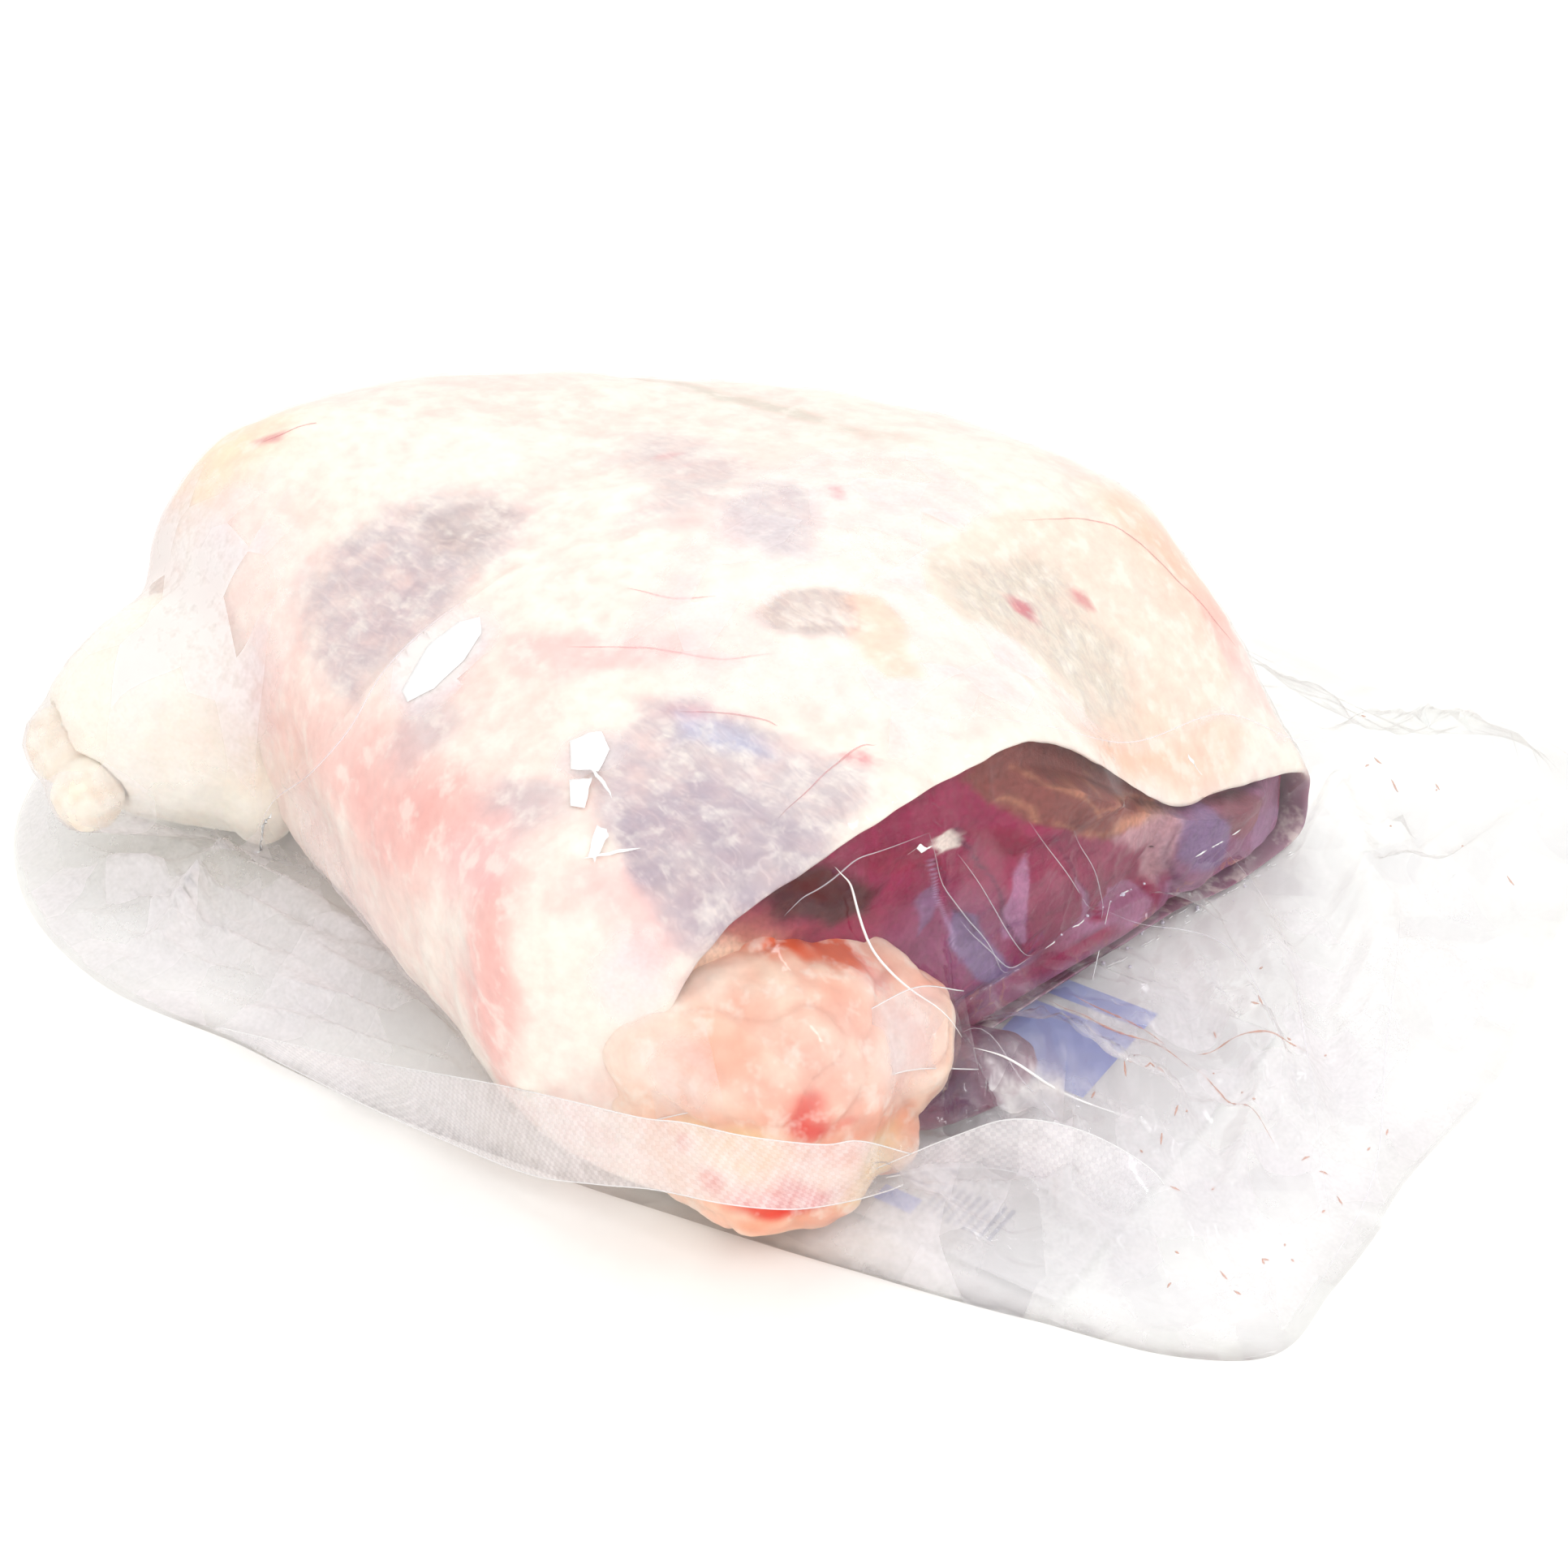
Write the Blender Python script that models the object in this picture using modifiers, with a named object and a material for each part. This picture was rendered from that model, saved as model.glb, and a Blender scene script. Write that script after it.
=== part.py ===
"""A raw bone-in leg of lamb, vacuum packed in a clear bag and lying on its side.

Metres, +Z up. +X runs along the leg, from the folded shank to the cut face. -Y is the side
that the shank is folded onto, and z = 0 is the surface that the leg lies on.

Each piece is a solid of its own, 0.5 mm clear of the next. The film clings to the meat
nearly everywhere, so the meat has the bag's outer form, and the bag's own solid is its
free margin: the doubled film that runs out round the leg.
"""

import math

import bmesh
import bpy
from mathutils import Vector, noise
from mathutils.bvhtree import BVHTree

# The leg, without the shank
LEG_LENGTH = 0.268
LEG_WIDTH = 0.206
LEG_HEIGHT = 0.096
CUT_X = 0.074
TAIL_X = CUT_X - LEG_LENGTH
TAIL_ROUND = 0.046
TAIL_END_X = TAIL_X + TAIL_ROUND
RIM_ROUND = 0.012
SIDE_END_X = CUT_X - RIM_ROUND
WIDEST_AT = 0.42
SQUARENESS = 2.5  # of its upper near side: 2 is an ellipse
UNDERSIDE_DROP = 1.10
# The front of the leg: the cut face stands back at its near and far ends, and the far
# shoulder slopes down to the rim
FRONT_START = 0.006
NEAR_SETBACK = 0.016
NEAR_SETBACK_Z = 0.050
FAR_SETBACK = 0.003
SHOULDER_SLOPE = 0.55
SHOULDER_START_Y = -0.008
SHOULDER_END_Y = 0.066
# The front edge's underside curls up off the label
CURL_START = 0.046
CURL_RISE = 0.006
CURL_END_Y = (0.050, 0.090)
# The fat, the gaps, and how far the cut face stands back inside the rim
FAT_THICKNESS = 0.0042
GAP = 0.0005
LEAN_GAP = 0.0009
FACE_X = CUT_X - RIM_ROUND * 0.35
FACE_ROUND = FACE_X - SIDE_END_X
UNDER_FACE_ROUND = 0.25

# How far along the leg; near side and far side as shares of its width; top as a share of
# its height; how square its far upper shoulder and its underside are
LEG_SECTIONS = (
    (0.00, -0.30, -0.12, 0.64, 2.4, 3.2),
    (0.08, -0.34, 0.03, 0.82, 2.6, 3.2),
    (0.20, -0.38, 0.21, 0.96, 2.7, 3.2),
    (0.35, -0.41, 0.41, 1.00, 2.9, 3.2),
    (0.54, -0.46, 0.56, 1.00, 3.2, 3.2),
    (0.72, -0.50, 0.61, 1.00, 2.9, 3.6),
    (0.87, -0.52, 0.61, 0.97, 2.5, 5.5),
    (1.00, -0.46, 0.57, 0.88, 2.2, 6.0),
)

# Swells and hollows of the leg's side: x, bearing round the leg in degrees (0 at +Y, 90 at
# the top, 180 at -Y), spread along x, spread in degrees, height
SWELLS = (
    (-0.130, 105, 0.040, 30, 0.0045),
    (-0.060, 140, 0.035, 24, -0.0035),
    (-0.020, 95, 0.040, 22, 0.0035),
    (0.020, 130, 0.030, 18, -0.0030),
    (0.040, 160, 0.026, 20, 0.0060),
    (0.046, 112, 0.018, 16, -0.0035),
    (0.050, 60, 0.025, 20, 0.0040),
    (0.050, 10, 0.030, 20, -0.0040),
    (-0.090, 180, 0.040, 20, -0.0040),
)

# Where the fat is thicker or thinner: x, bearing, spread along x, spread in degrees, change
FAT_CHANGES = (
    (0.072, 42, 0.030, 16, 0.0070),
    (0.050, 165, 0.040, 26, 0.0060),
    (-0.190, 90, 0.035, 90, 0.0050),
    (0.074, 275, 0.034, 48, -0.0025),
)

# The muscles that show at the cut face: middle y and z, half width, half height, bulge
CUT_MUSCLES = (
    (0.026, 0.060, 0.036, 0.014, 0.0040),
    (0.004, 0.036, 0.050, 0.018, 0.0030),
    (0.072, 0.030, 0.024, 0.022, 0.0050),
    (0.030, 0.014, 0.034, 0.010, 0.0015),
)
CUT_GROOVE = 0.0030
CUT_MIDDLE = (0.010, 0.032)

# The lumps of fat in the pocket below the cut face: x, y, z and radius
POCKET_LUMPS = (
    (0.058, -0.070, 0.038, 0.018),
    (0.064, -0.054, 0.038, 0.015),
    (0.070, -0.040, 0.031, 0.012),
    (0.068, -0.074, 0.026, 0.019),
    (0.078, -0.060, 0.028, 0.015),
    (0.084, -0.047, 0.026, 0.011),
    (0.079, -0.040, 0.028, 0.012),
    (0.070, -0.048, 0.028, 0.017),
    (0.080, -0.071, 0.0155, 0.0125),
    (0.086, -0.055, 0.012, 0.009),
    (0.074, -0.086, 0.0155, 0.0125),
    (0.064, -0.056, 0.018, 0.015),
)
POCKET_UNEVENNESS = 0.45
LUMP_NOISE_SCALE = 1.1
LUMP_SEGMENTS = 12
LUMP_RINGS = 8
LOWER_MUSCLE_MIDDLE = (0.079, -0.033, 0.0108)
LOWER_MUSCLE_SIZE = (0.014, 0.026, 0.0068)
LOWER_MUSCLE_TURN = math.radians(-21)
LOWER_MUSCLE_SEGMENTS = 20
LOWER_MUSCLE_RINGS = 12

# The folded shank, and the knuckle of bone at its end
SHANK_START = (-0.116, -0.046, 0.034)
SHANK_END = (-0.133, -0.086, 0.032)
SHANK_START_RADIUS = 0.037
SHANK_END_RADIUS = 0.0295
SHANK_BUMP_HEIGHT = 0.0025
SHANK_BUMPS_PER_METRE = 40
SHANK_SEGMENTS = 24
SHANK_RINGS = 16
KNUCKLES = ((-0.140, -0.110, 0.031, 0.0100), (-0.127, -0.113, 0.024, 0.0092))
BONE_UNEVENNESS = 0.15

# The bag: its outline as x and y, and by bearing the height at which it leaves the leg
FILM_THICKNESS = 0.0012
FILM_CLEAR = 0.0018
BAG_SPOKES = 84
BAG_RINGS = 8
BAG_OUTLINE = (
    (0.176, 0.000),
    (0.160, 0.072),
    (0.140, 0.118),
    (0.104, 0.196),
    (0.030, 0.190),
    (-0.050, 0.188),
    (-0.118, 0.170),
    (-0.168, 0.110),
    (-0.206, 0.030),
    (-0.212, -0.040),
    (-0.172, -0.110),
    (-0.134, -0.134),
    (-0.090, -0.140),
    (-0.040, -0.132),
    (0.026, -0.112),
    (0.086, -0.096),
    (0.136, -0.080),
    (0.182, -0.058),
)
BAG_RISES = (
    (0, 0.026),
    (45, 0.024),
    (100, 0.020),
    (150, 0.016),
    (190, 0.012),
    (230, 0.014),
    (275, 0.009),
    (315, 0.020),
)
RISE_FADE = 1.6
# Loops and billows of loose film: x, y, spread, height
BAG_BILLOWS = (
    (0.117, -0.052, 0.022, 0.020),
    (0.150, -0.030, 0.020, 0.010),
    (0.168, 0.004, 0.024, 0.015),
    (0.122, 0.074, 0.026, 0.016),
    (0.100, 0.140, 0.026, 0.014),
    (0.030, 0.160, 0.032, 0.012),
    (-0.070, 0.160, 0.036, 0.012),
    (-0.175, 0.090, 0.034, 0.010),
    (-0.190, -0.020, 0.030, 0.012),
    (-0.080, -0.125, 0.030, 0.006),
)
RIPPLE_HEIGHT = 0.0012
RIPPLES_PER_METRE = 45
# The search for where the leg ends at a bearing
REACH_START = 0.5
REACH_STEPS = 16
REACH_MARGIN = 0.003

# The paper label, which lies under the film and the leg's front edge
LABEL_SIZE = (0.056, 0.104)
LABEL_MIDDLE = (0.099, -0.012)
LABEL_TURN = math.radians(12)
LABEL_LIFT = 0.0010
LABEL_WAVE = 0.0007
LABEL_THICKNESS = 0.0004
FILM_OVER_LABEL = 0.0042

# Rings and segments of the leg's meshes
SEGMENTS = 44
TAIL_RINGS = 7
SIDE_RINGS = 14
RIM_RINGS = 4
INNER_SIDE_RINGS = 10
INNER_TAIL_RINGS = 5
FACE_RINGS = 9
MERGE_DISTANCE = 0.00002

MATERIALS = {
    "fat_cover": ((0.86, 0.68, 0.60), 0.40),
    "lean_meat": ((0.20, 0.03, 0.05), 0.35),
    "pocket_fat": ((0.88, 0.66, 0.48), 0.38),
    "lower_muscle": ((0.24, 0.04, 0.09), 0.35),
    "shank": ((0.86, 0.74, 0.55), 0.42),
    "shank_bone": ((0.86, 0.80, 0.70), 0.45),
    "label": ((0.80, 0.83, 0.90), 0.60),
    "bag": ((0.80, 0.84, 0.88), 0.12),
}
FILM_ALPHA = 0.35


def between(rows, at, column):
    """A smooth curve through one column of rows, whose first column goes up."""
    at = min(max(at, rows[0][0]), rows[-1][0])
    last = len(rows) - 1
    index = next(i for i in range(last) if at <= rows[i + 1][0])
    start, end = rows[index], rows[index + 1]
    before, after = rows[max(index - 1, 0)], rows[min(index + 2, last)]
    span = end[0] - start[0]
    slope_in = (end[column] - before[column]) / (end[0] - before[0]) * span
    slope_out = (after[column] - start[column]) / (after[0] - start[0]) * span
    t = (at - start[0]) / span
    return (
        start[column] * (2 * t**3 - 3 * t**2 + 1)
        + slope_in * (t**3 - 2 * t**2 + t)
        + end[column] * (3 * t**2 - 2 * t**3)
        + slope_out * (t**3 - t**2)
    )


def ease(share):
    """A soft step from 0 to 1."""
    share = min(max(share, 0.0), 1.0)
    return share * share * (3 - 2 * share)


def turn_between(angle, other):
    """The smallest turn between two bearings, in degrees."""
    return abs((angle - other + 180) % 360 - 180)


def bumps(rows, x, bearing):
    """The summed height at x and bearing of soft bumps on the leg's side."""
    total = 0.0
    for middle, at, along, round_it, height in rows:
        far = ((x - middle) / along) ** 2 + (turn_between(bearing, at) / round_it) ** 2
        total += height * math.exp(-far)
    return total


def leg_point(x, bearing, share, depth, skin):
    """A point of the leg's section at x, depth inside its outer skin. share is 1 on the
    side and 0 on the leg's middle line."""
    along = (x - TAIL_X) / LEG_LENGTH
    near = between(LEG_SECTIONS, along, 1) * LEG_WIDTH
    far = between(LEG_SECTIONS, along, 2) * LEG_WIDTH
    top = between(LEG_SECTIONS, along, 3) * LEG_HEIGHT
    middle_z = top * WIDEST_AT
    middle_y = (near + far) / 2
    out = bumps(SWELLS, x, bearing) * skin - depth
    side, lift = math.cos(math.radians(bearing)), math.sin(math.radians(bearing))
    if lift < 0:
        reach_z, power = middle_z * UNDERSIDE_DROP + out, 2 / between(LEG_SECTIONS, along, 5)
    else:
        reach_z, power = top - middle_z + out, 2 / SQUARENESS
        if side > 0:
            power += (2 / between(LEG_SECTIONS, along, 4) - power) * (side * lift * 2)
    across = (far - near) / 2 + out
    y = middle_y + share * across * math.copysign(abs(side) ** power, side)
    z = middle_z + share * reach_z * math.copysign(abs(lift) ** power, lift)
    front = max(0.0, (x - FRONT_START) / (CUT_X - FRONT_START))
    z *= 1 - SHOULDER_SLOPE * front**1.5 * ease((y - SHOULDER_START_Y) / (SHOULDER_END_Y - SHOULDER_START_Y))
    if y > 0:
        setback = FAR_SETBACK * (y / far) ** 2
    else:
        setback = NEAR_SETBACK * (y / near) ** 2 * ease(z / NEAR_SETBACK_Z)
    curl = CURL_RISE * max(0.0, (x - CURL_START) / (CUT_X - CURL_START)) ** 1.5
    curl *= 1 - ease((y - CURL_END_Y[0]) / (CURL_END_Y[1] - CURL_END_Y[0]))
    floor = min(depth, FAT_THICKNESS + LEAN_GAP)
    return Vector((x - setback * front, y, max(z, floor + curl)))


def tail_point(angle, bearing, depth):
    """A point of the leg's round far end: angle is 0 at its tip and 90 where it ends."""
    turn = math.radians(angle)
    x = TAIL_X + depth + (TAIL_ROUND - depth) * (1 - math.cos(turn))
    return leg_point(x, bearing, math.sin(turn), depth, math.sin(turn))


def side_x(ring, rings):
    """Where a ring stands between the leg's round far end and its rim."""
    return TAIL_END_X + (SIDE_END_X - TAIL_END_X) * ring / rings


def fat_depth(x, bearing):
    """How thick the fat is at x and bearing."""
    return FAT_THICKNESS + bumps(FAT_CHANGES, x, bearing)


def cut_relief(y, z):
    """How far the cut face stands out at y and z: a dome for each muscle, with grooves
    between them."""
    stand = -CUT_GROOVE
    for middle_y, middle_z, half_width, half_height, bulge in CUT_MUSCLES:
        off = ((y - middle_y) / half_width) ** 2 + ((z - middle_z) / half_height) ** 2
        if off < 1:
            stand = max(stand, (bulge + CUT_GROOVE) * (1 - off) ** 0.5 - CUT_GROOVE)
    return stand


def material(name):
    """The plain material of one piece."""
    colour, roughness = MATERIALS[name]
    made = bpy.data.materials.new(name)
    made.use_nodes = True
    shader = made.node_tree.nodes["Principled BSDF"]
    shader.inputs["Base Color"].default_value = (*colour, 1.0)
    shader.inputs["Roughness"].default_value = roughness
    shader.inputs["Metallic"].default_value = 0.0
    if name == "bag":
        shader.inputs["Alpha"].default_value = FILM_ALPHA
    return made


def new_object(name, bm, collection):
    """Turns a bmesh into a named object with its faces pointing out."""
    bmesh.ops.recalc_face_normals(bm, faces=bm.faces)
    mesh = bpy.data.meshes.new(name)
    bm.to_mesh(mesh)
    bm.free()
    mesh.shade_smooth()
    made = bpy.data.objects.new(name, mesh)
    collection.objects.link(made)
    if name in MATERIALS:
        mesh.materials.append(material(name))
    return made


def ringed_solid(name, rings, place, collection):
    """A sphere whose rings are laid where place(ring, bearing) says."""
    bm = bmesh.new()
    bmesh.ops.create_uvsphere(bm, u_segments=SEGMENTS, v_segments=rings, radius=1)
    for vert in bm.verts:
        polar = math.acos(max(-1.0, min(1.0, -vert.co.z)))
        bearing = math.degrees(math.atan2(vert.co.y, vert.co.x)) % 360
        vert.co = place(round(polar / math.pi * rings), bearing)
    bmesh.ops.triangulate(bm, faces=bm.faces, quad_method="SHORT_EDGE")
    return new_object(name, bm, collection)


def make_fat_cover(collection):
    """A thick skin round the leg, open at the cut face: its rings run from the far tip
    along the outside, over the rim, and back along the inside."""

    def place(ring, bearing):
        if ring <= TAIL_RINGS:
            return tail_point(90 * ring / TAIL_RINGS, bearing, 0)
        ring -= TAIL_RINGS
        if ring <= SIDE_RINGS:
            return leg_point(side_x(ring, SIDE_RINGS), bearing, 1, 0, 1)
        ring -= SIDE_RINGS
        if ring <= RIM_RINGS:
            turn = math.pi * ring / RIM_RINGS
            half = fat_depth(CUT_X, bearing) / 2
            x = SIDE_END_X + RIM_ROUND * math.sin(turn)
            return leg_point(x, bearing, 1, half * (1 - math.cos(turn)), 1)
        ring -= RIM_RINGS
        if ring <= INNER_SIDE_RINGS:
            x = side_x(INNER_SIDE_RINGS - ring, INNER_SIDE_RINGS)
            return leg_point(x, bearing, 1, fat_depth(x, bearing), 1)
        ring -= INNER_SIDE_RINGS
        return tail_point(90 - 90 * ring / INNER_TAIL_RINGS, bearing, fat_depth(TAIL_END_X, bearing))

    rings = TAIL_RINGS + SIDE_RINGS + RIM_RINGS + INNER_SIDE_RINGS + INNER_TAIL_RINGS
    return ringed_solid("fat_cover", rings, place, collection)


def make_lean_meat(collection):
    """The lean inside the fat. Its front is the cut face."""

    def place(ring, bearing):
        if ring <= INNER_TAIL_RINGS:
            depth = fat_depth(TAIL_END_X, bearing) + LEAN_GAP
            return tail_point(90 * ring / INNER_TAIL_RINGS, bearing, depth)
        ring -= INNER_TAIL_RINGS
        if ring <= INNER_SIDE_RINGS:
            x = side_x(ring, INNER_SIDE_RINGS)
            return leg_point(x, bearing, 1, fat_depth(x, bearing) + LEAN_GAP, 1)
        ring -= INNER_SIDE_RINGS
        depth = fat_depth(CUT_X, bearing) + LEAN_GAP
        round_by = FACE_ROUND * (1 - (1 - UNDER_FACE_ROUND) * ease(-math.sin(math.radians(bearing))))
        if ring <= RIM_RINGS:
            turn = math.pi / 2 * ring / RIM_RINGS
            x = FACE_X - FACE_ROUND * (1 - math.sin(turn))
            return leg_point(x, bearing, 1, depth + round_by * (1 - math.cos(turn)), 1)
        share = 1 - (ring - RIM_RINGS) / FACE_RINGS
        edge = leg_point(FACE_X, bearing, 1, depth + round_by, 1)
        point = Vector((FACE_X, *CUT_MIDDLE)).lerp(edge, share)
        point.x += cut_relief(point.y, point.z) * min(1.0, (1 - share) * 4)
        return point

    rings = INNER_TAIL_RINGS + INNER_SIDE_RINGS + RIM_RINGS + FACE_RINGS
    return ringed_solid("lean_meat", rings, place, collection)


def make_leg_envelope(clear, collection):
    """The leg's outer form, grown by clear: the cutter for what lies against the leg."""

    def place(ring, bearing):
        if ring <= TAIL_RINGS:
            return tail_point(90 * ring / TAIL_RINGS, bearing, -clear)
        ring -= TAIL_RINGS
        if ring <= SIDE_RINGS:
            return leg_point(side_x(ring, SIDE_RINGS), bearing, 1, -clear, 1)
        share = 1 - (ring - SIDE_RINGS) / RIM_RINGS
        return leg_point(CUT_X + clear, bearing, share, -clear, 1)

    return ringed_solid("leg_envelope", TAIL_RINGS + SIDE_RINGS + RIM_RINGS, place, collection)


def lump_mesh(segments, rings):
    """A bmesh that holds a ball of radius 1."""
    bm = bmesh.new()
    bmesh.ops.create_uvsphere(bm, u_segments=segments, v_segments=rings, radius=1)
    return bm


def lumps(name, spheres, unevenness, clear, collection):
    """Uneven lumps joined into one solid, each grown by clear."""
    group = bpy.data.collections.new(name + "_lumps")
    bpy.context.scene.collection.children.link(group)
    for index, (x, y, z, radius) in enumerate(spheres):
        bm = lump_mesh(LUMP_SEGMENTS, LUMP_RINGS)
        middle, offset = Vector((x, y, z)), Vector((3.7 * index, 0, 0))
        for vert in bm.verts:
            swell = 1 + unevenness * noise.noise(vert.co * LUMP_NOISE_SCALE + offset)
            vert.co = middle + vert.co * (radius * swell + clear)
        bmesh.ops.triangulate(bm, faces=bm.faces, quad_method="FIXED")
        made = new_object(f"{name}_{index}", bm, group)
        if index == 0:
            first = made
    group.objects.unlink(first)
    collection.objects.link(first)
    apply_boolean(first, "UNION", group=group)
    for lump in list(group.objects):
        bpy.data.objects.remove(lump)
    bpy.data.collections.remove(group)
    first.name = name
    if name in MATERIALS:
        first.data.materials.append(material(name))
    return first


def apply_boolean(target, operation, group=None, cutter=None):
    """Joins a collection to the target, or cuts it with one object, for good."""
    modifier = target.modifiers.new("cut", "BOOLEAN")
    modifier.operation = operation
    modifier.solver = "EXACT"
    if group is None:
        modifier.object = cutter
    else:
        modifier.operand_type = "COLLECTION"
        modifier.collection = group
    graph = bpy.context.evaluated_depsgraph_get()
    mesh = bpy.data.meshes.new_from_object(target.evaluated_get(graph))
    target.modifiers.clear()
    target.data = mesh


def keep_largest(target):
    """Drops the loose scraps that a cut leaves, and merges points that coincide."""
    bm = bmesh.new()
    bm.from_mesh(target.data)
    bmesh.ops.remove_doubles(bm, verts=bm.verts, dist=MERGE_DISTANCE)
    bmesh.ops.dissolve_degenerate(bm, edges=bm.edges, dist=MERGE_DISTANCE)
    left = set(bm.verts)
    groups = []
    while left:
        group, edge = set(), [left.pop()]
        while edge:
            vert = edge.pop()
            group.add(vert)
            for link in vert.link_edges:
                other = link.other_vert(vert)
                if other in left:
                    left.discard(other)
                    edge.append(other)
        groups.append(group)
    groups.sort(key=len)
    for group in groups[:-1]:
        bmesh.ops.delete(bm, geom=list(group), context="VERTS")
    bm.to_mesh(target.data)
    bm.free()


def make_shank(envelope, collection, cutters):
    """The folded shank: a tapered lobe that lies against the leg, and the bone's end."""
    bone = lumps("shank_bone", KNUCKLES, BONE_UNEVENNESS, 0, collection)
    bone_cutter = lumps("bone_cutter", KNUCKLES, BONE_UNEVENNESS, GAP, cutters)
    start, end = Vector(SHANK_START), Vector(SHANK_END)
    turn = (end - start).to_track_quat("Z", "Y")
    length = (end - start).length
    bm = lump_mesh(SHANK_SEGMENTS, SHANK_RINGS)
    for vert in bm.verts:
        share = (vert.co.z + 1) / 2
        radius = SHANK_START_RADIUS + (SHANK_END_RADIUS - SHANK_START_RADIUS) * share
        point = Vector((vert.co.x * radius, vert.co.y * radius, vert.co.z * radius + length * share))
        bump = noise.noise(point * SHANK_BUMPS_PER_METRE) * SHANK_BUMP_HEIGHT
        vert.co = start + turn @ (point + point.normalized() * bump)
        vert.co.z = max(vert.co.z, 0.0)
    shank = new_object("shank", bm, collection)
    for cutter in (envelope, bone_cutter):
        apply_boolean(shank, "DIFFERENCE", cutter=cutter)
    keep_largest(shank)
    return shank, bone


def lower_muscle(name, clear, collection):
    """The small muscle that shows below the pocket, grown by clear."""
    bm = lump_mesh(LOWER_MUSCLE_SEGMENTS, LOWER_MUSCLE_RINGS)
    cos, sin = math.cos(LOWER_MUSCLE_TURN), math.sin(LOWER_MUSCLE_TURN)
    for vert in bm.verts:
        x, y, z = (part * (size + clear) for part, size in zip(vert.co, LOWER_MUSCLE_SIZE))
        vert.co = Vector(LOWER_MUSCLE_MIDDLE) + Vector((x * cos - y * sin, x * sin + y * cos, z))
    return new_object(name, bm, collection)


def make_pocket(fat_cover, lean_meat, collection, cutters):
    """The pocket at the leg's lower front corner: its lumps of fat, the small muscle beside
    them, and the room that both take from the leg."""
    pocket = lumps("pocket_fat", POCKET_LUMPS, POCKET_UNEVENNESS, 0, collection)
    pocket_cutter = lumps("pocket_cutter", POCKET_LUMPS, POCKET_UNEVENNESS, GAP, cutters)
    muscle = lower_muscle("lower_muscle", 0, collection)
    muscle_cutter = lower_muscle("muscle_cutter", GAP, cutters)
    for piece in (fat_cover, lean_meat):
        for cutter in (pocket_cutter, muscle_cutter):
            apply_boolean(piece, "DIFFERENCE", cutter=cutter)
        keep_largest(piece)
    apply_boolean(pocket, "DIFFERENCE", cutter=muscle_cutter)
    keep_largest(pocket)
    return pocket, muscle


def tree_of(pieces):
    """One search tree over the surfaces of all the pieces."""
    points, faces = [], []
    for piece in pieces:
        start = len(points)
        points += [vert.co.copy() for vert in piece.data.vertices]
        faces += [[start + index for index in face.vertices] for face in piece.data.polygons]
    return BVHTree.FromPolygons(points, faces)


def reach(tree, bearing, height):
    """How far from the middle line the pieces go at a bearing, from the table up to a
    height."""
    turn = math.radians(bearing)
    way = Vector((math.cos(turn), math.sin(turn), 0))
    farthest = 0.0
    for step in range(REACH_STEPS):
        level = (height + REACH_MARGIN) * (step + 0.1) / REACH_STEPS
        hit = tree.ray_cast(way * REACH_START + Vector((0, 0, level)), -way)[0]
        if hit is not None:
            farthest = max(farthest, math.hypot(hit.x, hit.y))
    return farthest


def outline_radius(bearing):
    """The bag's outline at a bearing, with its corners rounded."""
    rows = sorted((math.degrees(math.atan2(y, x)) % 360, math.hypot(x, y)) for x, y in BAG_OUTLINE)
    rows = [(rows[-1][0] - 360, rows[-1][1]), *rows, (rows[0][0] + 360, rows[0][1])]
    return between(rows, bearing % 360, 1)


def bag_rise(bearing):
    """How high the film leaves the leg at a bearing."""
    rows = [(BAG_RISES[-1][0] - 360, BAG_RISES[-1][1]), *BAG_RISES, (360, BAG_RISES[0][1])]
    return between(rows, bearing % 360, 1)


def outside_label(x, y):
    """How far x and y are outside the label, as a share of its size."""
    cos, sin = math.cos(LABEL_TURN), math.sin(LABEL_TURN)
    off_x, off_y = x - LABEL_MIDDLE[0], y - LABEL_MIDDLE[1]
    along = abs(off_x * cos + off_y * sin) / LABEL_SIZE[0]
    across = abs(off_y * cos - off_x * sin) / LABEL_SIZE[1]
    return max(along - 0.5, across - 0.5, 0)


def film_height(x, y, share, rise):
    """The height of the loose film: share is 0 at the leg and 1 at the bag's edge."""
    drop = rise * (1 - share) ** RISE_FADE
    billow = sum(
        height * math.exp(-((x - at_x) ** 2 + (y - at_y) ** 2) / spread**2)
        for at_x, at_y, spread, height in BAG_BILLOWS
    )
    over_label = FILM_OVER_LABEL * max(0.0, 1 - outside_label(x, y) * 4)
    ripple = RIPPLE_HEIGHT * share * (1 + noise.noise(Vector((x, y, 0)) * RIPPLES_PER_METRE))
    return FILM_THICKNESS / 2 + max(drop + billow * share + ripple, over_label)


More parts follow.
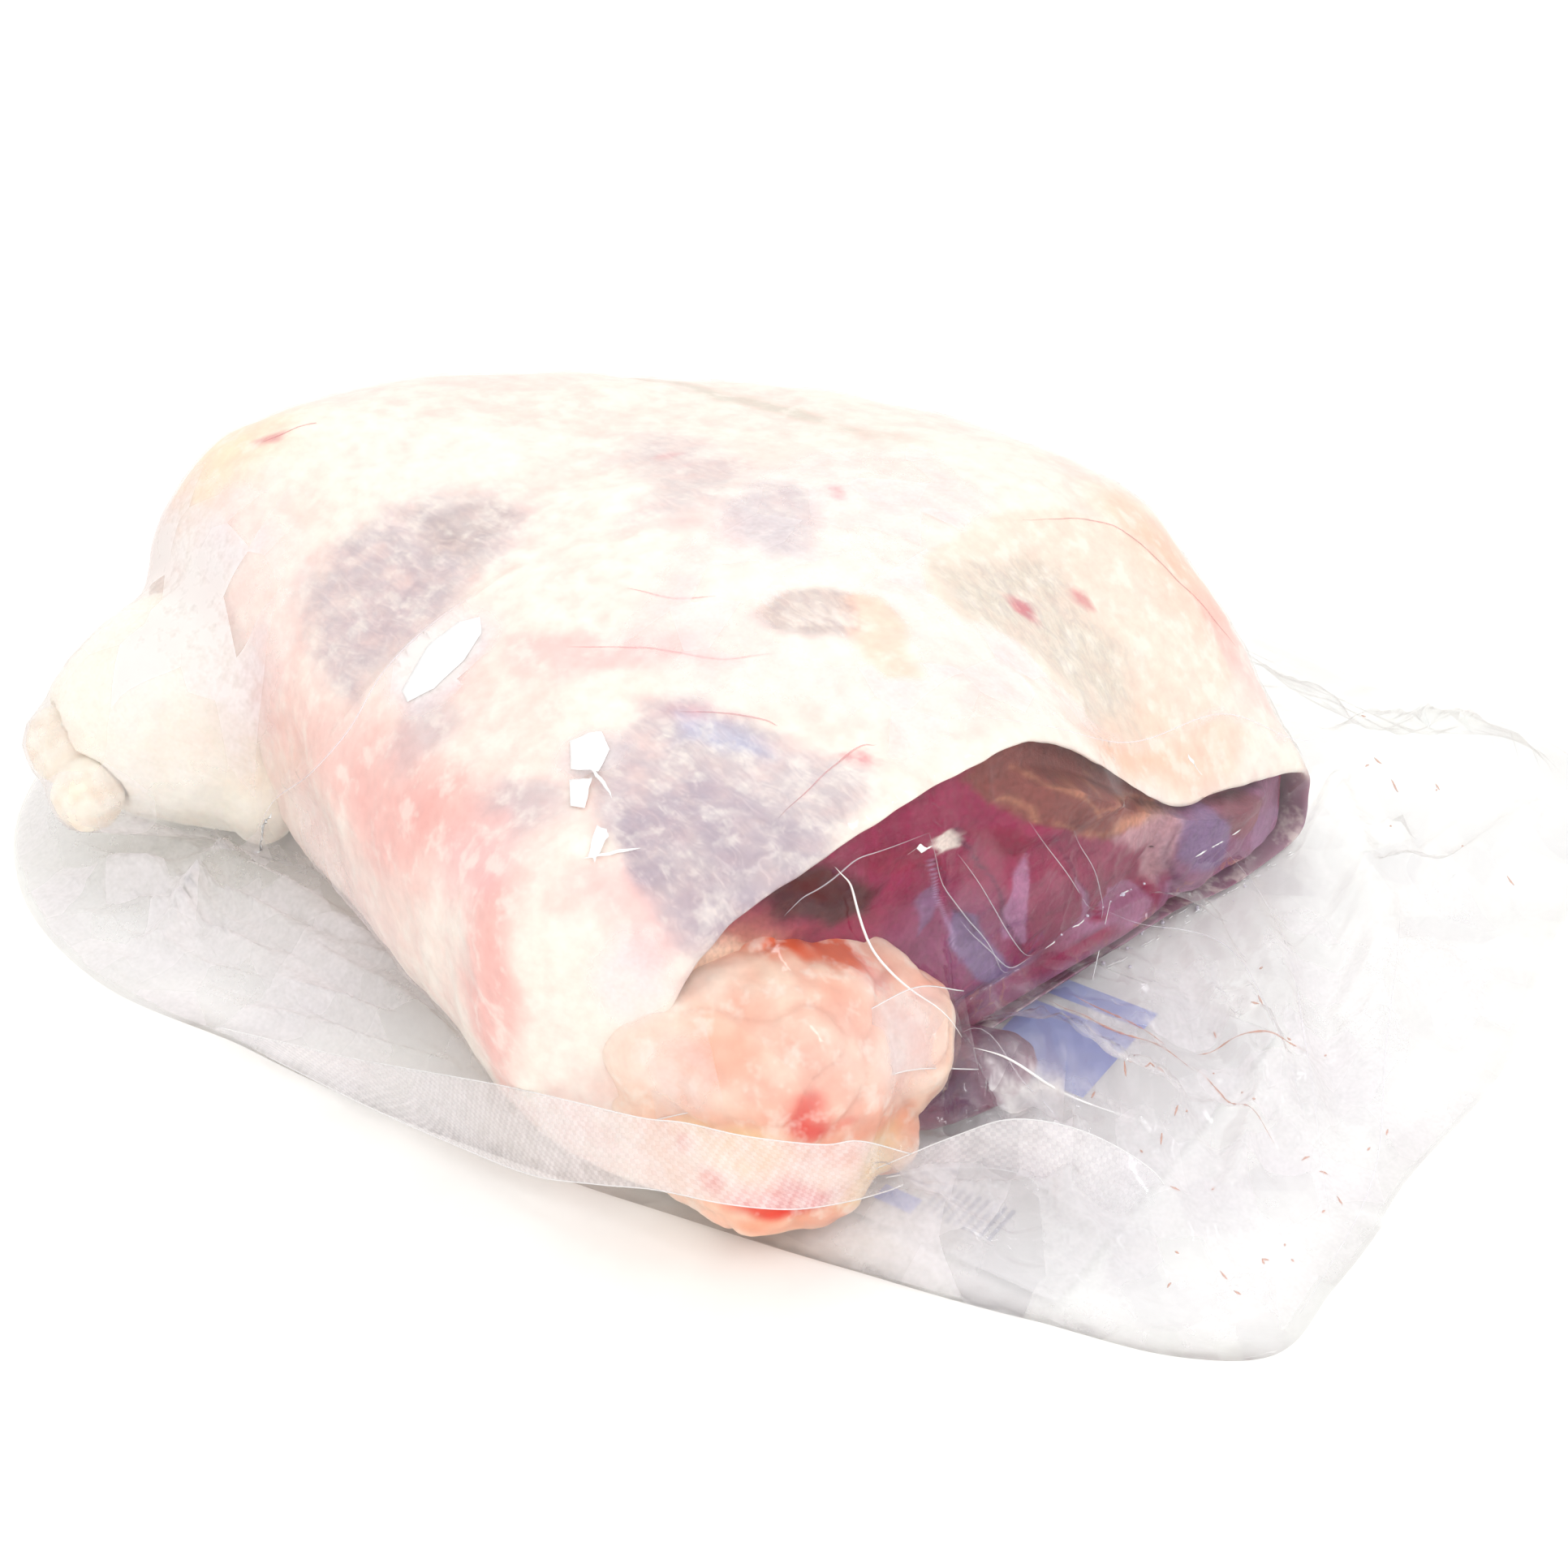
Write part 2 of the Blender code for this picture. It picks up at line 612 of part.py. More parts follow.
def make_bag(contents, collection):
    """The bag's free margin: one ring of film round the leg, from where it leaves the meat
    to its uneven edge."""
    tree = tree_of(contents)
    bearings = [360 * index / BAG_SPOKES for index in range(BAG_SPOKES)]
    rises = [bag_rise(bearing) for bearing in bearings]
    reaches = [reach(tree, bearing, rise) for bearing, rise in zip(bearings, rises)]
    inner = [max(reaches[(i + k) % BAG_SPOKES] for k in (-1, 0, 1)) + FILM_CLEAR for i in range(BAG_SPOKES)]
    for _ in range(2):
        around = [(inner[i - 1] + inner[(i + 1) % BAG_SPOKES]) / 2 for i in range(BAG_SPOKES)]
        inner = [max(own, mean) for own, mean in zip(inner, around)]

    bm = bmesh.new()
    loop = bmesh.ops.create_circle(bm, segments=BAG_SPOKES, radius=1)["verts"]
    edges = list(bm.edges)
    for ring in range(BAG_RINGS + 1):
        share = ring / BAG_RINGS
        for vert in loop:
            spoke = math.degrees(math.atan2(vert.co.y, vert.co.x)) % 360 / 360 * BAG_SPOKES
            index = round(spoke) % BAG_SPOKES
            turn = math.radians(bearings[index])
            radius = inner[index] + (outline_radius(bearings[index]) - inner[index]) * share
            x, y = radius * math.cos(turn), radius * math.sin(turn)
            vert.co = (x, y, film_height(x, y, share, rises[index]))
        if ring < BAG_RINGS:
            grown = bmesh.ops.extrude_edge_only(bm, edges=edges)["geom"]
            loop = [part for part in grown if isinstance(part, bmesh.types.BMVert)]
            edges = [
                part
                for part in grown
                if isinstance(part, bmesh.types.BMEdge) and all(v in loop for v in part.verts)
            ]
    bag = new_object("bag", bm, collection)
    thick = bag.modifiers.new("film", "SOLIDIFY")
    thick.thickness = FILM_THICKNESS
    thick.offset = 0
    return bag


def make_label(collection):
    """The paper label, a thin sheet with a slight wave."""
    bm = bmesh.new()
    bmesh.ops.create_grid(bm, x_segments=6, y_segments=10, size=0.5)
    cos, sin = math.cos(LABEL_TURN), math.sin(LABEL_TURN)
    for vert in bm.verts:
        along, across = vert.co.x * LABEL_SIZE[0], vert.co.y * LABEL_SIZE[1]
        wave = LABEL_WAVE * (1 + math.sin(vert.co.y * 2 * math.pi) * math.cos(vert.co.x * 3))
        x = LABEL_MIDDLE[0] + along * cos - across * sin
        y = LABEL_MIDDLE[1] + along * sin + across * cos
        vert.co = (x, y, LABEL_LIFT + wave)
    bmesh.ops.triangulate(bm, faces=bm.faces)
    label = new_object("label", bm, collection)
    paper = label.modifiers.new("paper", "SOLIDIFY")
    paper.thickness = LABEL_THICKNESS
    paper.offset = 0
    return label


def centre(pieces):
    """Moves every mesh so that the model's box stands centred on the origin."""
    graph = bpy.context.evaluated_depsgraph_get()
    corners = []
    for piece in pieces:
        mesh = piece.evaluated_get(graph).to_mesh()
        corners += [vert.co.copy() for vert in mesh.vertices]
    low = Vector([min(corner[axis] for corner in corners) for axis in range(3)])
    high = Vector([max(corner[axis] for corner in corners) for axis in range(3)])
    shift = Vector((-(low.x + high.x) / 2, -(low.y + high.y) / 2, -low.z))
    for piece in pieces:
        for vert in piece.data.vertices:
            vert.co += shift


def main():
    for item in list(bpy.data.objects):
        bpy.data.objects.remove(item)
    collection = bpy.data.collections.new("leg_of_lamb")
    cutters = bpy.data.collections.new("cutters")
    for group in (collection, cutters):
        bpy.context.scene.collection.children.link(group)

    fat_cover = make_fat_cover(collection)
    lean_meat = make_lean_meat(collection)
    envelope = make_leg_envelope(GAP, cutters)
    shank, bone = make_shank(envelope, collection, cutters)
    pocket, muscle = make_pocket(fat_cover, lean_meat, collection, cutters)
    contents = [fat_cover, lean_meat, shank, bone, pocket, muscle]
    bag = make_bag(contents, collection)
    label = make_label(collection)
    for cutter in list(cutters.objects):
        bpy.data.objects.remove(cutter)
    centre([*contents, bag, label])


main()
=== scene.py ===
"""Dresses a vacuum packed leg of lamb: its fat, its cut face, the pocket of fat below the
cut, the folded shank, the clear bag with its folds and seam, the label, and the stage.

Metres, in the frame's own axes: the cut face looks along +X, the shank is folded onto the
-Y side, and z = 0 is the table.
"""

import math
import random

import bmesh
import bpy
import numpy as np
from bpy.props import FloatProperty, FloatVectorProperty, IntProperty, PointerProperty
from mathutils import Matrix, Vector, noise
from mathutils.bvhtree import BVHTree


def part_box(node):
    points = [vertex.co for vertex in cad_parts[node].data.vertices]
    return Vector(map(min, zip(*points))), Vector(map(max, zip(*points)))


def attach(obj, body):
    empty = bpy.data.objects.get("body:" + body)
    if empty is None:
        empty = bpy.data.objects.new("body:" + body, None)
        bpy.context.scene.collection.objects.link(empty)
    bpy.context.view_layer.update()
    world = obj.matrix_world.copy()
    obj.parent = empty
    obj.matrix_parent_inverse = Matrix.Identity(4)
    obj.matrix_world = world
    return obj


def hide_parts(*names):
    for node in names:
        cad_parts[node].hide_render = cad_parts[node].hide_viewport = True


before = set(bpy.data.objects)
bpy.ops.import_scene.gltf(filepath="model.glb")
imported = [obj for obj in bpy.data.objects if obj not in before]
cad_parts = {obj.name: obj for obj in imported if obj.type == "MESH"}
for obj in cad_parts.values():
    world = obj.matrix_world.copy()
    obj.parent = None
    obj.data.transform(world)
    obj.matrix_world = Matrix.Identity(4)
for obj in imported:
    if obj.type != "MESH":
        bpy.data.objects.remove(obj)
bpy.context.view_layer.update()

bl_info = {
    "name": "Packed leg of lamb",
    "version": (1, 0, 0),
    "blender": (4, 5, 0),
    "location": "3D View > Sidebar > Lamb",
    "description": "Dresses a vacuum packed leg of lamb: fat, cut face, bag, label and stage",
    "category": "Add Mesh",
}

MM = 0.001
RIB_SPACING = 1.1 * MM

# ---------------------------------------------------------------- the leg's own measures
# The leg's functions have its middle line at y = 0; the model's frame is moved by this much
SHIFT = Vector((0.014021, -0.030483, 0.0))
LEG_LENGTH = 0.268
LEG_WIDTH = 0.206
LEG_HEIGHT = 0.096
CUT_X = 0.074
TAIL_X = CUT_X - LEG_LENGTH
TAIL_ROUND = 0.046
TAIL_END_X = TAIL_X + TAIL_ROUND
RIM_ROUND = 0.012
SIDE_END_X = CUT_X - RIM_ROUND
WIDEST_AT = 0.42
SQUARENESS = 2.5
UNDERSIDE_DROP = 1.10
FRONT_START = 0.006
NEAR_SETBACK = 0.016
NEAR_SETBACK_Z = 0.050
FAR_SETBACK = 0.003
SHOULDER_SLOPE = 0.55
SHOULDER_START_Y = -0.008
SHOULDER_END_Y = 0.066
CURL_START = 0.046
CURL_RISE = 0.006
CURL_END_Y = (0.050, 0.090)
FAT_THICKNESS = 0.0042
LEAN_GAP = 0.0005
FACE_X = CUT_X - RIM_ROUND * 0.35
FACE_SWELL = 0.0042
FACE_ROUND = FACE_X - SIDE_END_X
UNDER_FACE_ROUND = 0.25

# How far along the leg; near side and far side as shares of its width; top as a share of
# its height; how square its far upper shoulder and its underside are
LEG_SECTIONS = (
    (0.00, -0.30, -0.12, 0.64, 2.4, 3.2),
    (0.08, -0.34, 0.03, 0.82, 2.6, 3.2),
    (0.20, -0.38, 0.21, 0.96, 2.7, 3.2),
    (0.35, -0.41, 0.41, 1.00, 2.9, 3.2),
    (0.54, -0.46, 0.56, 1.00, 3.2, 3.2),
    (0.72, -0.50, 0.61, 1.00, 2.9, 3.6),
    (0.87, -0.52, 0.61, 0.97, 2.5, 5.5),
    (1.00, -0.46, 0.57, 0.88, 2.2, 6.0),
)
# Swells and hollows: x, bearing (0 at +Y, 90 at the top), spread along x, in degrees, height
SWELLS = (
    (-0.130, 105, 0.040, 30, 0.0045),
    (-0.060, 140, 0.035, 24, -0.0035),
    (-0.020, 95, 0.040, 22, 0.0035),
    (0.020, 130, 0.030, 18, -0.0030),
    (0.040, 160, 0.026, 20, 0.0060),
    (0.046, 112, 0.018, 16, -0.0035),
    (0.050, 60, 0.025, 20, 0.0040),
    (0.050, 10, 0.030, 20, -0.0040),
    (-0.090, 180, 0.040, 20, -0.0040),
)
# Where the fat is thicker or thinner
FAT_CHANGES = (
    (0.072, 42, 0.030, 16, 0.0070),
    (0.050, 165, 0.040, 26, 0.0060),
    (-0.190, 90, 0.035, 90, 0.0050),
    (0.074, 275, 0.034, 48, -0.0025),
)
# The muscles at the cut face: middle y and z, half width, half height, bulge
CUT_MUSCLES = (
    (0.026, 0.060, 0.036, 0.014, 0.0040),
    (0.004, 0.036, 0.050, 0.018, 0.0030),
    (0.072, 0.030, 0.024, 0.022, 0.0050),
    (0.030, 0.014, 0.034, 0.010, 0.0015),
)
CUT_GROOVE = 0.0030
CUT_MIDDLE = (0.010, 0.032)

# Rings and segments of the dressed leg; the segments stand closer on the near upper side
SEGMENTS = 420
CLOSER = 24.0
CLOSEST_AT = 145.0
TAIL_RINGS = 34
SIDE_RINGS = 132
RIM_RINGS = 14
INNER_SIDE_RINGS = 8
INNER_TAIL_RINGS = 4
FACE_SEGMENTS = 300
FACE_RINGS = 110
FACE_SIDE_RINGS = 6

# ---------------------------------------------------------------- colours
TISSUES = {
    "cream fat": "#fbefe4",
    "pink fat": "#f6d3cb",
    "yellow fat": "#f6dfa6",
    "orange fat": "#f4b48c",
    "muscle under fat": "#b0a1af",
    "brown under fat": "#b8a39c",
    "blue under fat": "#aab6dc",
    "green under fat": "#cdc9b9",
    "clear fat": "#eedccc",
    "red flush": "#f09a94",
    "pink flush": "#f6aeb0",
    "blood": "#e0241c",
    "spot": "#cf5268",
    "stain": "#e25410",
    "deep stain": "#b02c0a",
    "brown muscle": "#83443f",
    "magenta muscle": "#931f4a",
    "deep red muscle": "#8c1a3c",
    "dusky muscle": "#8f465d",
    "violet muscle": "#8f5f7c",
    "blue muscle": "#85769f",
    # Painted shade: the dark of a notch in the cut face
    "notch shade": "#4a1418",
    "seam": "#e3a283",
    "marbling": "#bd8064",
    # Painted reflection: the pale sheen of the film's facets over the cut
    "painted facet sheen": "#c4a6cc",
    # Painted shade: the dark lines that the film's creases make on the cut face
    "painted crease shade": "#54203f",
    "silverskin": "#cfabb0",
}

# Patches on the fat: tissue, middle in mm, half sizes in mm, turn in degrees, strength, softness
FAT_PATCHES = (
    ("pink fat", (-60, -118, 50), (120, 34, 44), 8, 0.45, 1.4),
    ("pink fat", (-110, -40, 96), (60, 40, 30), 20, 0.15, 1.4),
    ("yellow fat", (-134, -82, 84), (24, 18, 18), 20, 0.48, 1.2),
    ("orange fat", (-142, -96, 72), (14, 12, 14), 30, 0.18, 1.2),
    ("muscle under fat", (-11, -115, 73), (9, 6, 7), 30, 0.42, 1.1),
    ("muscle under fat", (24, -118, 76), (12, 6, 9), 10, 0.50, 1.1),
    ("red flush", (-12, -127, 57), (22, 12, 15), 10, 0.55, 1.2),
    ("red flush", (6, -124, 68), (16, 9, 9), 10, 0.44, 1.2),
    ("red flush", (40, -138, 48), (10, 12, 28), 0, 0.62, 1.0),
    ("red flush", (-38, -119, 60), (20, 10, 12), 10, 0.26, 1.2),
    ("red flush", (-62, -113, 52), (26, 12, 14), 0, 0.20, 1.3),
    ("pink flush", (27, -130, 66), (14, 10, 11), 10, 0.60, 1.2),
    ("pink flush", (62, -119, 68), (13, 8, 9), 20, 0.45, 1.2),
    ("pink flush", (9, -84, 89), (26, 7, 8), 40, 0.50, 1.2),
    ("pink flush", (40, -84, 88), (10, 3, 6), 50, 0.55, 1.2),
    ("cream fat", (58, -132, 56), (13, 10, 13), 0, 0.95, 0.8),
    ("cream fat", (70, -122, 50), (9, 9, 10), 0, 0.95, 0.8),
    ("orange fat", (74, -128, 30), (13, 9, 13), 0, 0.45, 1.2),
    ("orange fat", (80, -121, 12), (16, 10, 9), 0, 0.35, 1.2),
    ("orange fat", (36, 66, 66), (44, 13, 17), 18, 0.60, 1.2),
    ("pink flush", (60, 74, 50), (20, 9, 16), 30, 0.45, 1.2),
    ("orange fat", (80, 16, 58), (10, 26, 12), 0, 0.62, 1.0),
    ("orange fat", (82, 40, 44), (9, 20, 9), 0, 0.40, 1.0),
    ("stain", (77, -92, 58), (6, 8, 6), 0, 0.95, 0.8),
    ("stain", (80, -84, 56), (5, 6, 4), 0, 0.60, 0.9),
    ("green under fat", (-58, 22, 95), (44, 5, 9), 16, 0.70, 1.0),
)
# Windows of muscle and stain that show through the fat, by their outlines in plan: tissue,
# strength, width of the edge in mm, then x and y of each corner in mm
FAT_OUTLINES = (
    ("muscle under fat", 0.54, 12, ((-77, -99), (-77, -86), (-68, -66), (-59, -55), (-45, -56), (-36, -70), (-36, -84), (-39, -98), (-44, -111), (-60, -109))),
    ("brown under fat", 0.50, 10, ((-66, -74), (-62, -60), (-54, -54), (-44, -60), (-40, -74), (-52, -79))),
    ("muscle under fat", 0.36, 14, ((-50, -24), (-54, -12), (-42, -3), (-26, -6), (-10, -22), (-8, -40), (-16, -46), (-32, -36))),
    ("muscle under fat", 0.52, 9, ((-11, -27), (-13, -13), (-2, -7), (11, -16), (21, -29), (16, -40), (2, -38))),
    ("brown under fat", 0.60, 3, ((28, -52), (28, -43), (31, -37), (38, -33), (46, -40), (43, -48), (35, -53))),
    ("orange fat", 0.42, 4, ((36, -33), (42, -29), (52, -31), (60, -37), (67, -40), (61, -46), (52, -46), (44, -42))),
    ("muscle under fat", 0.56, 7, ((31, -100), (30, -90), (35, -80), (45, -75), (58, -70), (74, -66), (84, -78), (84, -94), (79, -108), (68, -116), (54, -117), (40, -110))),
    ("muscle under fat", 0.66, 5, ((54, -100), (54, -92), (72, -86), (84, -84), (82, -100), (76, -112), (64, -117), (48, -113))),
    ("blue under fat", 0.50, 5, ((37, -87), (44, -79), (55, -75), (61, -76), (54, -85), (45, -90))),
    ("clear fat", 0.70, 1.8, ((34, -5), (44, -16), (53, -15), (61, -1), (70, -3), (77, 4), (80, 20), (78, 43), (70, 69), (44, 68), (31, 44), (29, 18))),
    ("green under fat", 0.50, 10, ((38, -4), (50, -14), (62, 0), (74, 4), (76, 20), (62, 34), (44, 24))),
    ("spot", 0.85, 2, ((49, 8), (53, 6), (56, 10), (52, 13))),
    ("spot", 0.60, 2, ((49, 29), (52, 28), (53, 32), (50, 32))),
    ("spot", 0.70, 3, ((0, -4), (5, -8), (8, -6), (3, -1))),
    ("spot", 0.75, 3, ((67, -67), (72, -68), (73, -64), (69, -63))),
    ("spot", 0.60, 3, ((-124, -78), (-118, -72), (-115, -76), (-120, -80))),
    ("spot", 0.50, 3, ((-42, -17), (-38, -14), (-36, -17), (-40, -19))),
)

# Patches on the cut face, in its own plane: their middles and half sizes are y, z and x
CUT_PATCHES = (
    ("dusky muscle", (4, 36, 86), (28, 14, 30), -25, 0.70, 0.9),
    ("violet muscle", (50, 20, 86), (30, 23, 30), -20, 0.95, 0.20),
    ("blue muscle", (-50, 36, 86), (18, 12, 30), -30, 0.30, 1.2),
    ("cream fat", (-116, 34, 84), (24, 32, 30), 0, 1.00, 0.25),
    ("orange fat", (-106, 44, 84), (16, 20, 30), 0, 0.60, 0.8),
)
# Its muscles, and the facets of the wet film over them painted as a paler sheen, a painted reflection, by their
# outlines: tissue, strength, width of the edge in mm, then y and z of each corner in mm
CUT_OUTLINES = (
    ("violet muscle", 0.75, 5.0, ((-44, 22), (-26, 17), (0, 12), (26, 14), (60, 10), (80, 2), (80, -6), (-44, -6))),
    ("brown muscle", 1.00, 1.5, ((-46, 76), (-31, 80), (-16, 76), (0, 64), (16, 48), (22, 42), (20, 37), (10, 40), (0, 42), (-9, 47), (-21, 54), (-35, 64))),
    ("deep red muscle", 0.70, 1.6, ((-48, 66), (-35, 61), (-28, 55), (-30, 50), (-36, 52), (-40, 58))),
    ("deep red muscle", 0.70, 1.6, ((-76, 68), (-68, 68), (-58, 65), (-57, 59), (-67, 61))),
    ("blue muscle", 0.50, 1.2, ((-60, 51), (-56, 54), (-53, 51), (-56, 44), (-59, 42))),
    ("blue muscle", 0.75, 1.4, ((-50, 46), (-45, 42), (-39, 32), (-31, 20), (-34, 17), (-47, 29), (-52, 38))),
    # Painted sheen of the film's facets, a painted reflection
    ("painted facet sheen", 0.38, 1.2, ((-29, 51), (-29, 39), (-30, 29), (-36, 32), (-38, 42), (-34, 48))),
    ("dusky muscle", 0.85, 1.2, ((-29, 45), (-22, 44), (-16, 39), (-12, 30), (-11, 21), (-17, 17), (-25, 20), (-29, 32))),
    ("painted facet sheen", 0.38, 1.0, ((-14, 39), (-9, 31), (0, 14), (-5, 9), (-13, 15), (-9, 23))),
    ("painted facet sheen", 0.32, 1.2, ((0, 28), (13, 22), (18, 15), (14, 11), (4, 14), (-1, 20))),
    ("silverskin", 0.58, 3.5, ((0, 42), (13, 41), (27, 38), (25, 32), (24, 22), (19, 17), (15, 24), (17, 31), (7, 36))),
    ("blue muscle", 0.60, 3.0, ((24, 36), (34, 34), (42, 30), (42, 22), (45, 12), (34, 16), (26, 24))),
    ("brown muscle", 0.60, 2.5, ((38, 33), (52, 29), (66, 20), (58, 15), (44, 22))),
    ("painted facet sheen", 0.22, 2.5, ((64, 17), (77, 12), (80, 4), (70, 2), (60, 10))),
    # Painted shade in the notch
    ("notch shade", 0.95, 4.0, ((-96, 74), (-84, 70), (-76, 66), (-70, 60), (-73, 55), (-82, 55), (-96, 62))),
    ("cream fat", 0.85, 1.0, ((-57, 67), (-52, 67), (-48, 64), (-48, 61), (-54, 62))),
)
# Lines on it: tissue, strength, half width in mm, then y and z of each point in mm. The dark crease lines are painted
# shade where the film's creases lie on the cut, and the pale line is a painted highlight along one of them.
CUT_LINES = (
    ("marbling", 0.55, 0.6, ((-31, 73), (-23, 66), (-16, 62), (-11, 57), (-7, 51), (-9, 47))),
    ("marbling", 0.55, 0.6, ((-18, 69), (-15, 62))),
    ("marbling", 0.50, 0.6, ((-10, 55), (-2, 52), (10, 47), (18, 43))),
    ("marbling", 0.60, 0.7, ((-37, 68), (-33, 66), (-31, 64), (-29, 60))),
    ("marbling", 0.40, 0.7, ((-23, 57), (-15, 50), (-7, 46), (3, 43))),
    ("marbling", 0.45, 0.6, ((-7, 58), (2, 58), (8, 53))),
    ("seam", 0.55, 1.6, ((27, 42), (20, 40), (10, 42), (2, 44))),
    # Painted shade where the film's creases lie on the cut
    ("painted crease shade", 0.70, 0.6, ((-50, 66), (-41, 52), (-38, 40), (-29, 24))),
    ("painted crease shade", 0.65, 0.5, ((-56, 61), (-51, 52), (-50, 46), (-44, 38))),
    ("painted crease shade", 0.45, 0.5, ((-24, 54), (-15, 42), (-9, 30), (-1, 15))),
    ("painted crease shade", 0.50, 0.8, ((23, 34), (22, 26), (26, 18), (32, 12))),
    # A painted highlight along one crease
    ("painted facet sheen", 0.60, 0.5, ((-57, 61), (-52, 44), (-50, 35))),
)
# Where the fat's rim is painted dark, as the violet muscle with a little painted shade: the fat below the cut and at
# its far end, as the x where it starts, and the y and z that it fades at, in mm
RIM_DARK_X = 67
RIM_DARK_Z = 14
RIM_DARK_FAR_Z = 26
RIM_DARK_Y = 62

# Lumps that fill the grooves round the pocket's own: x, y, z and the three radii in mm
POCKET_ADDED = (
    (82, -98, 30, 27, 28, 25), (84, -103, 16, 24, 24, 14), (90, -116, 12, 15, 11, 11), (101, -104, 13, 10, 12, 12), (68, -119, 38, 13, 13, 13), (70, -118, 25, 14, 14, 14),
    (73, -115, 13, 12, 12, 12), (76, -108, 44, 12, 12, 12), (75, -98, 50, 10, 10, 9), (80, -117, 10, 12, 10, 9),
    (92, -112, 10, 11, 10, 9), (101, -100, 11, 9, 9, 9), (98, -96, 28, 12, 12, 12),
)
SHANK_ADDED = (
    (-100, -104, 50, 10, 10, 10), (-92, -107, 38, 9, 9, 10), (-88, -111, 20, 9, 9, 14), (-110, -98, 54, 10, 9, 9),
)
# Patches on the pocket's fat
POCKET_PATCHES = (
    ("pink fat", (92, -96, 40), (26, 30, 12), 0, 0.45, 1.4),
    ("stain", (76, -92, 55), (9, 10, 8), 0, 1.00, 0.6),
    ("stain", (84, -84, 51), (9, 7, 5), 0, 0.85, 0.7),
    ("deep stain", (77, -90, 54), (5, 5, 3), 0, 0.80, 0.8),
    ("pink flush", (90, -84, 45), (7, 7, 5), 0, 0.45, 0.8),
    ("cream fat", (96, -100, 42), (7, 6, 5), 0, 0.70, 0.9),
    ("cream fat", (90, -114, 36), (8, 6, 5), 0, 0.60, 0.9),
    ("blood", (100, -110, 34), (7, 5, 5), 0, 0.85, 0.8),
    ("blood", (95, -114, 30), (5, 4, 2), 0, 0.60, 0.9),
    ("blood", (103, -104, 30), (4, 5, 2), 0, 0.50, 0.9),
    ("blood", (88, -118, 29), (4, 2.5, 2), 0, 0.80, 0.7),
    ("blood", (101, -116, 16), (9, 13, 4), -30, 0.90, 0.8),
    ("blood", (92, -126, 19), (3, 3, 3), 0, 0.80, 0.8),
    ("orange fat", (78, -122, 20), (18, 14, 16), 0, 0.45, 1.2),
    ("orange fat", (80, -116, 42), (12, 9, 8), 0, 0.35, 1.0),
    ("cream fat", (84, -120, 34), (6, 5, 5), 0, 0.60, 0.9),
    ("cream fat", (100, -90, 36), (7, 8, 6), 0, 0.50, 0.9),
    ("blood", (84, -126, 24), (3, 2, 2), 0, 0.70, 0.9),
    ("yellow fat", (106, -96, 14), (10, 10, 6), 0, 0.60, 0.9),
    ("yellow fat", (94, -120, 26), (12, 10, 5), 0, 0.55, 0.9),
    ("cream fat", (86, -118, 22), (10, 8, 6), 0, 0.60, 0.8),
)

# ---------------------------------------------------------------- the bag
# The film's net starts from a line inside the leg, and looks outwards from there
CORE_START = Vector((-0.100, -0.040, 0.036))
CORE_END = Vector((0.040, -0.030, 0.036))
CAST_FROM = 0.45
FILM_SEGMENTS = 430
FILM_BODY_RINGS = 116
FILM_SKIRT_RINGS = 66
FILM_UNDER_RINGS = 10
FILM_CLOSER = 22.0
FILM_CLOSEST_AT = -44.0
RELAX_ROUNDS = 70
FILM_FLOOR = 0.0003
# Its outline on the table, in mm
BAG_OUTLINE = (
    (187, -44), (178, -4), (172, 40), (154, 88), (118, 164), (44, 159), (-36, 157), (-104, 139), (-154, 80),
    (-190, 0), (-196, -70), (-158, -138), (-120, -162), (-76, -168), (-30, -157), (27, -143),
    (72, -127), (112, -111), (150, -94), (178, -80), (190, -66),
)
BAG_MIDDLE = (0.0, -0.020)
# By bearing, how high the film leaves the leg
LEAVE_AT = ((0, 0.024), (45, 0.024), (100, 0.022), (150, 0.016), (190, 0.012), (230, 0.014), (275, 0.010), (315, 0.017))
RISE_FADE = 1.7
# Folds of the loose film: height and half width in mm, points on the table in mm
FOLDS = (
    (5.0, 7, ((-105, -147), (-80, -124), (-37, -119), (11, -124))),
    (4.0, 6, ((-97, -159), (-71, -132), (-18, -128), (23, -130))),
    (3.5, 5, ((-78, -166), (-63, -142), (-23, -136), (16, -133))),
    (2.5, 5, ((-51, -162), (-30, -146), (10, -139), (40, -137))),
    (7.0, 5, ((112, 84), (119, 70), (133, 52), (152, 20), (167, -11), (180, -41), (190, -68))),
    (9.0, 9, ((-80, -106), (-83, -121), (-82, -130), (-73, -151))),
    (12.0, 12, ((97, -60), (101, -53), (112, -46), (135, -40))),
    (10.0, 8, ((89, -4), (94, 9), (108, 12), (138, -3), (157, -16))),
    (9.0, 9, ((93, 37), (122, 18), (152, -5), (176, -30))),
    (11.0, 12, ((92, 80), (129, 52), (155, 17), (175, -14), (186, -55))),
    (6.0, 5, ((103, 7), (126, -4), (144, -12), (158, -40))),
    (7.0, 7, ((131, 51), (145, 57), (163, 48), (172, 34), (175, 12), (168, 2))),
    (9.0, 10, ((120, 62), (129, 85), (124, 130))),
    (18.0, 18, ((80, 62), (88, 86), (96, 124), (104, 150))),
    (7.0, 9, ((-60, 112), (-20, 126), (30, 130), (70, 112))),
    (5.0, 9, ((-150, 40), (-166, -10), (-164, -60), (-140, -110))),
    (6.0, 8, ((-120, 70), (-130, 96), (-110, 126))),
    (5.0, 6, ((110, -100), (128, -92), (150, -90), (176, -84))),
    (4.0, 5, ((120, -60), (140, -70), (160, -76), (188, -78))),
)
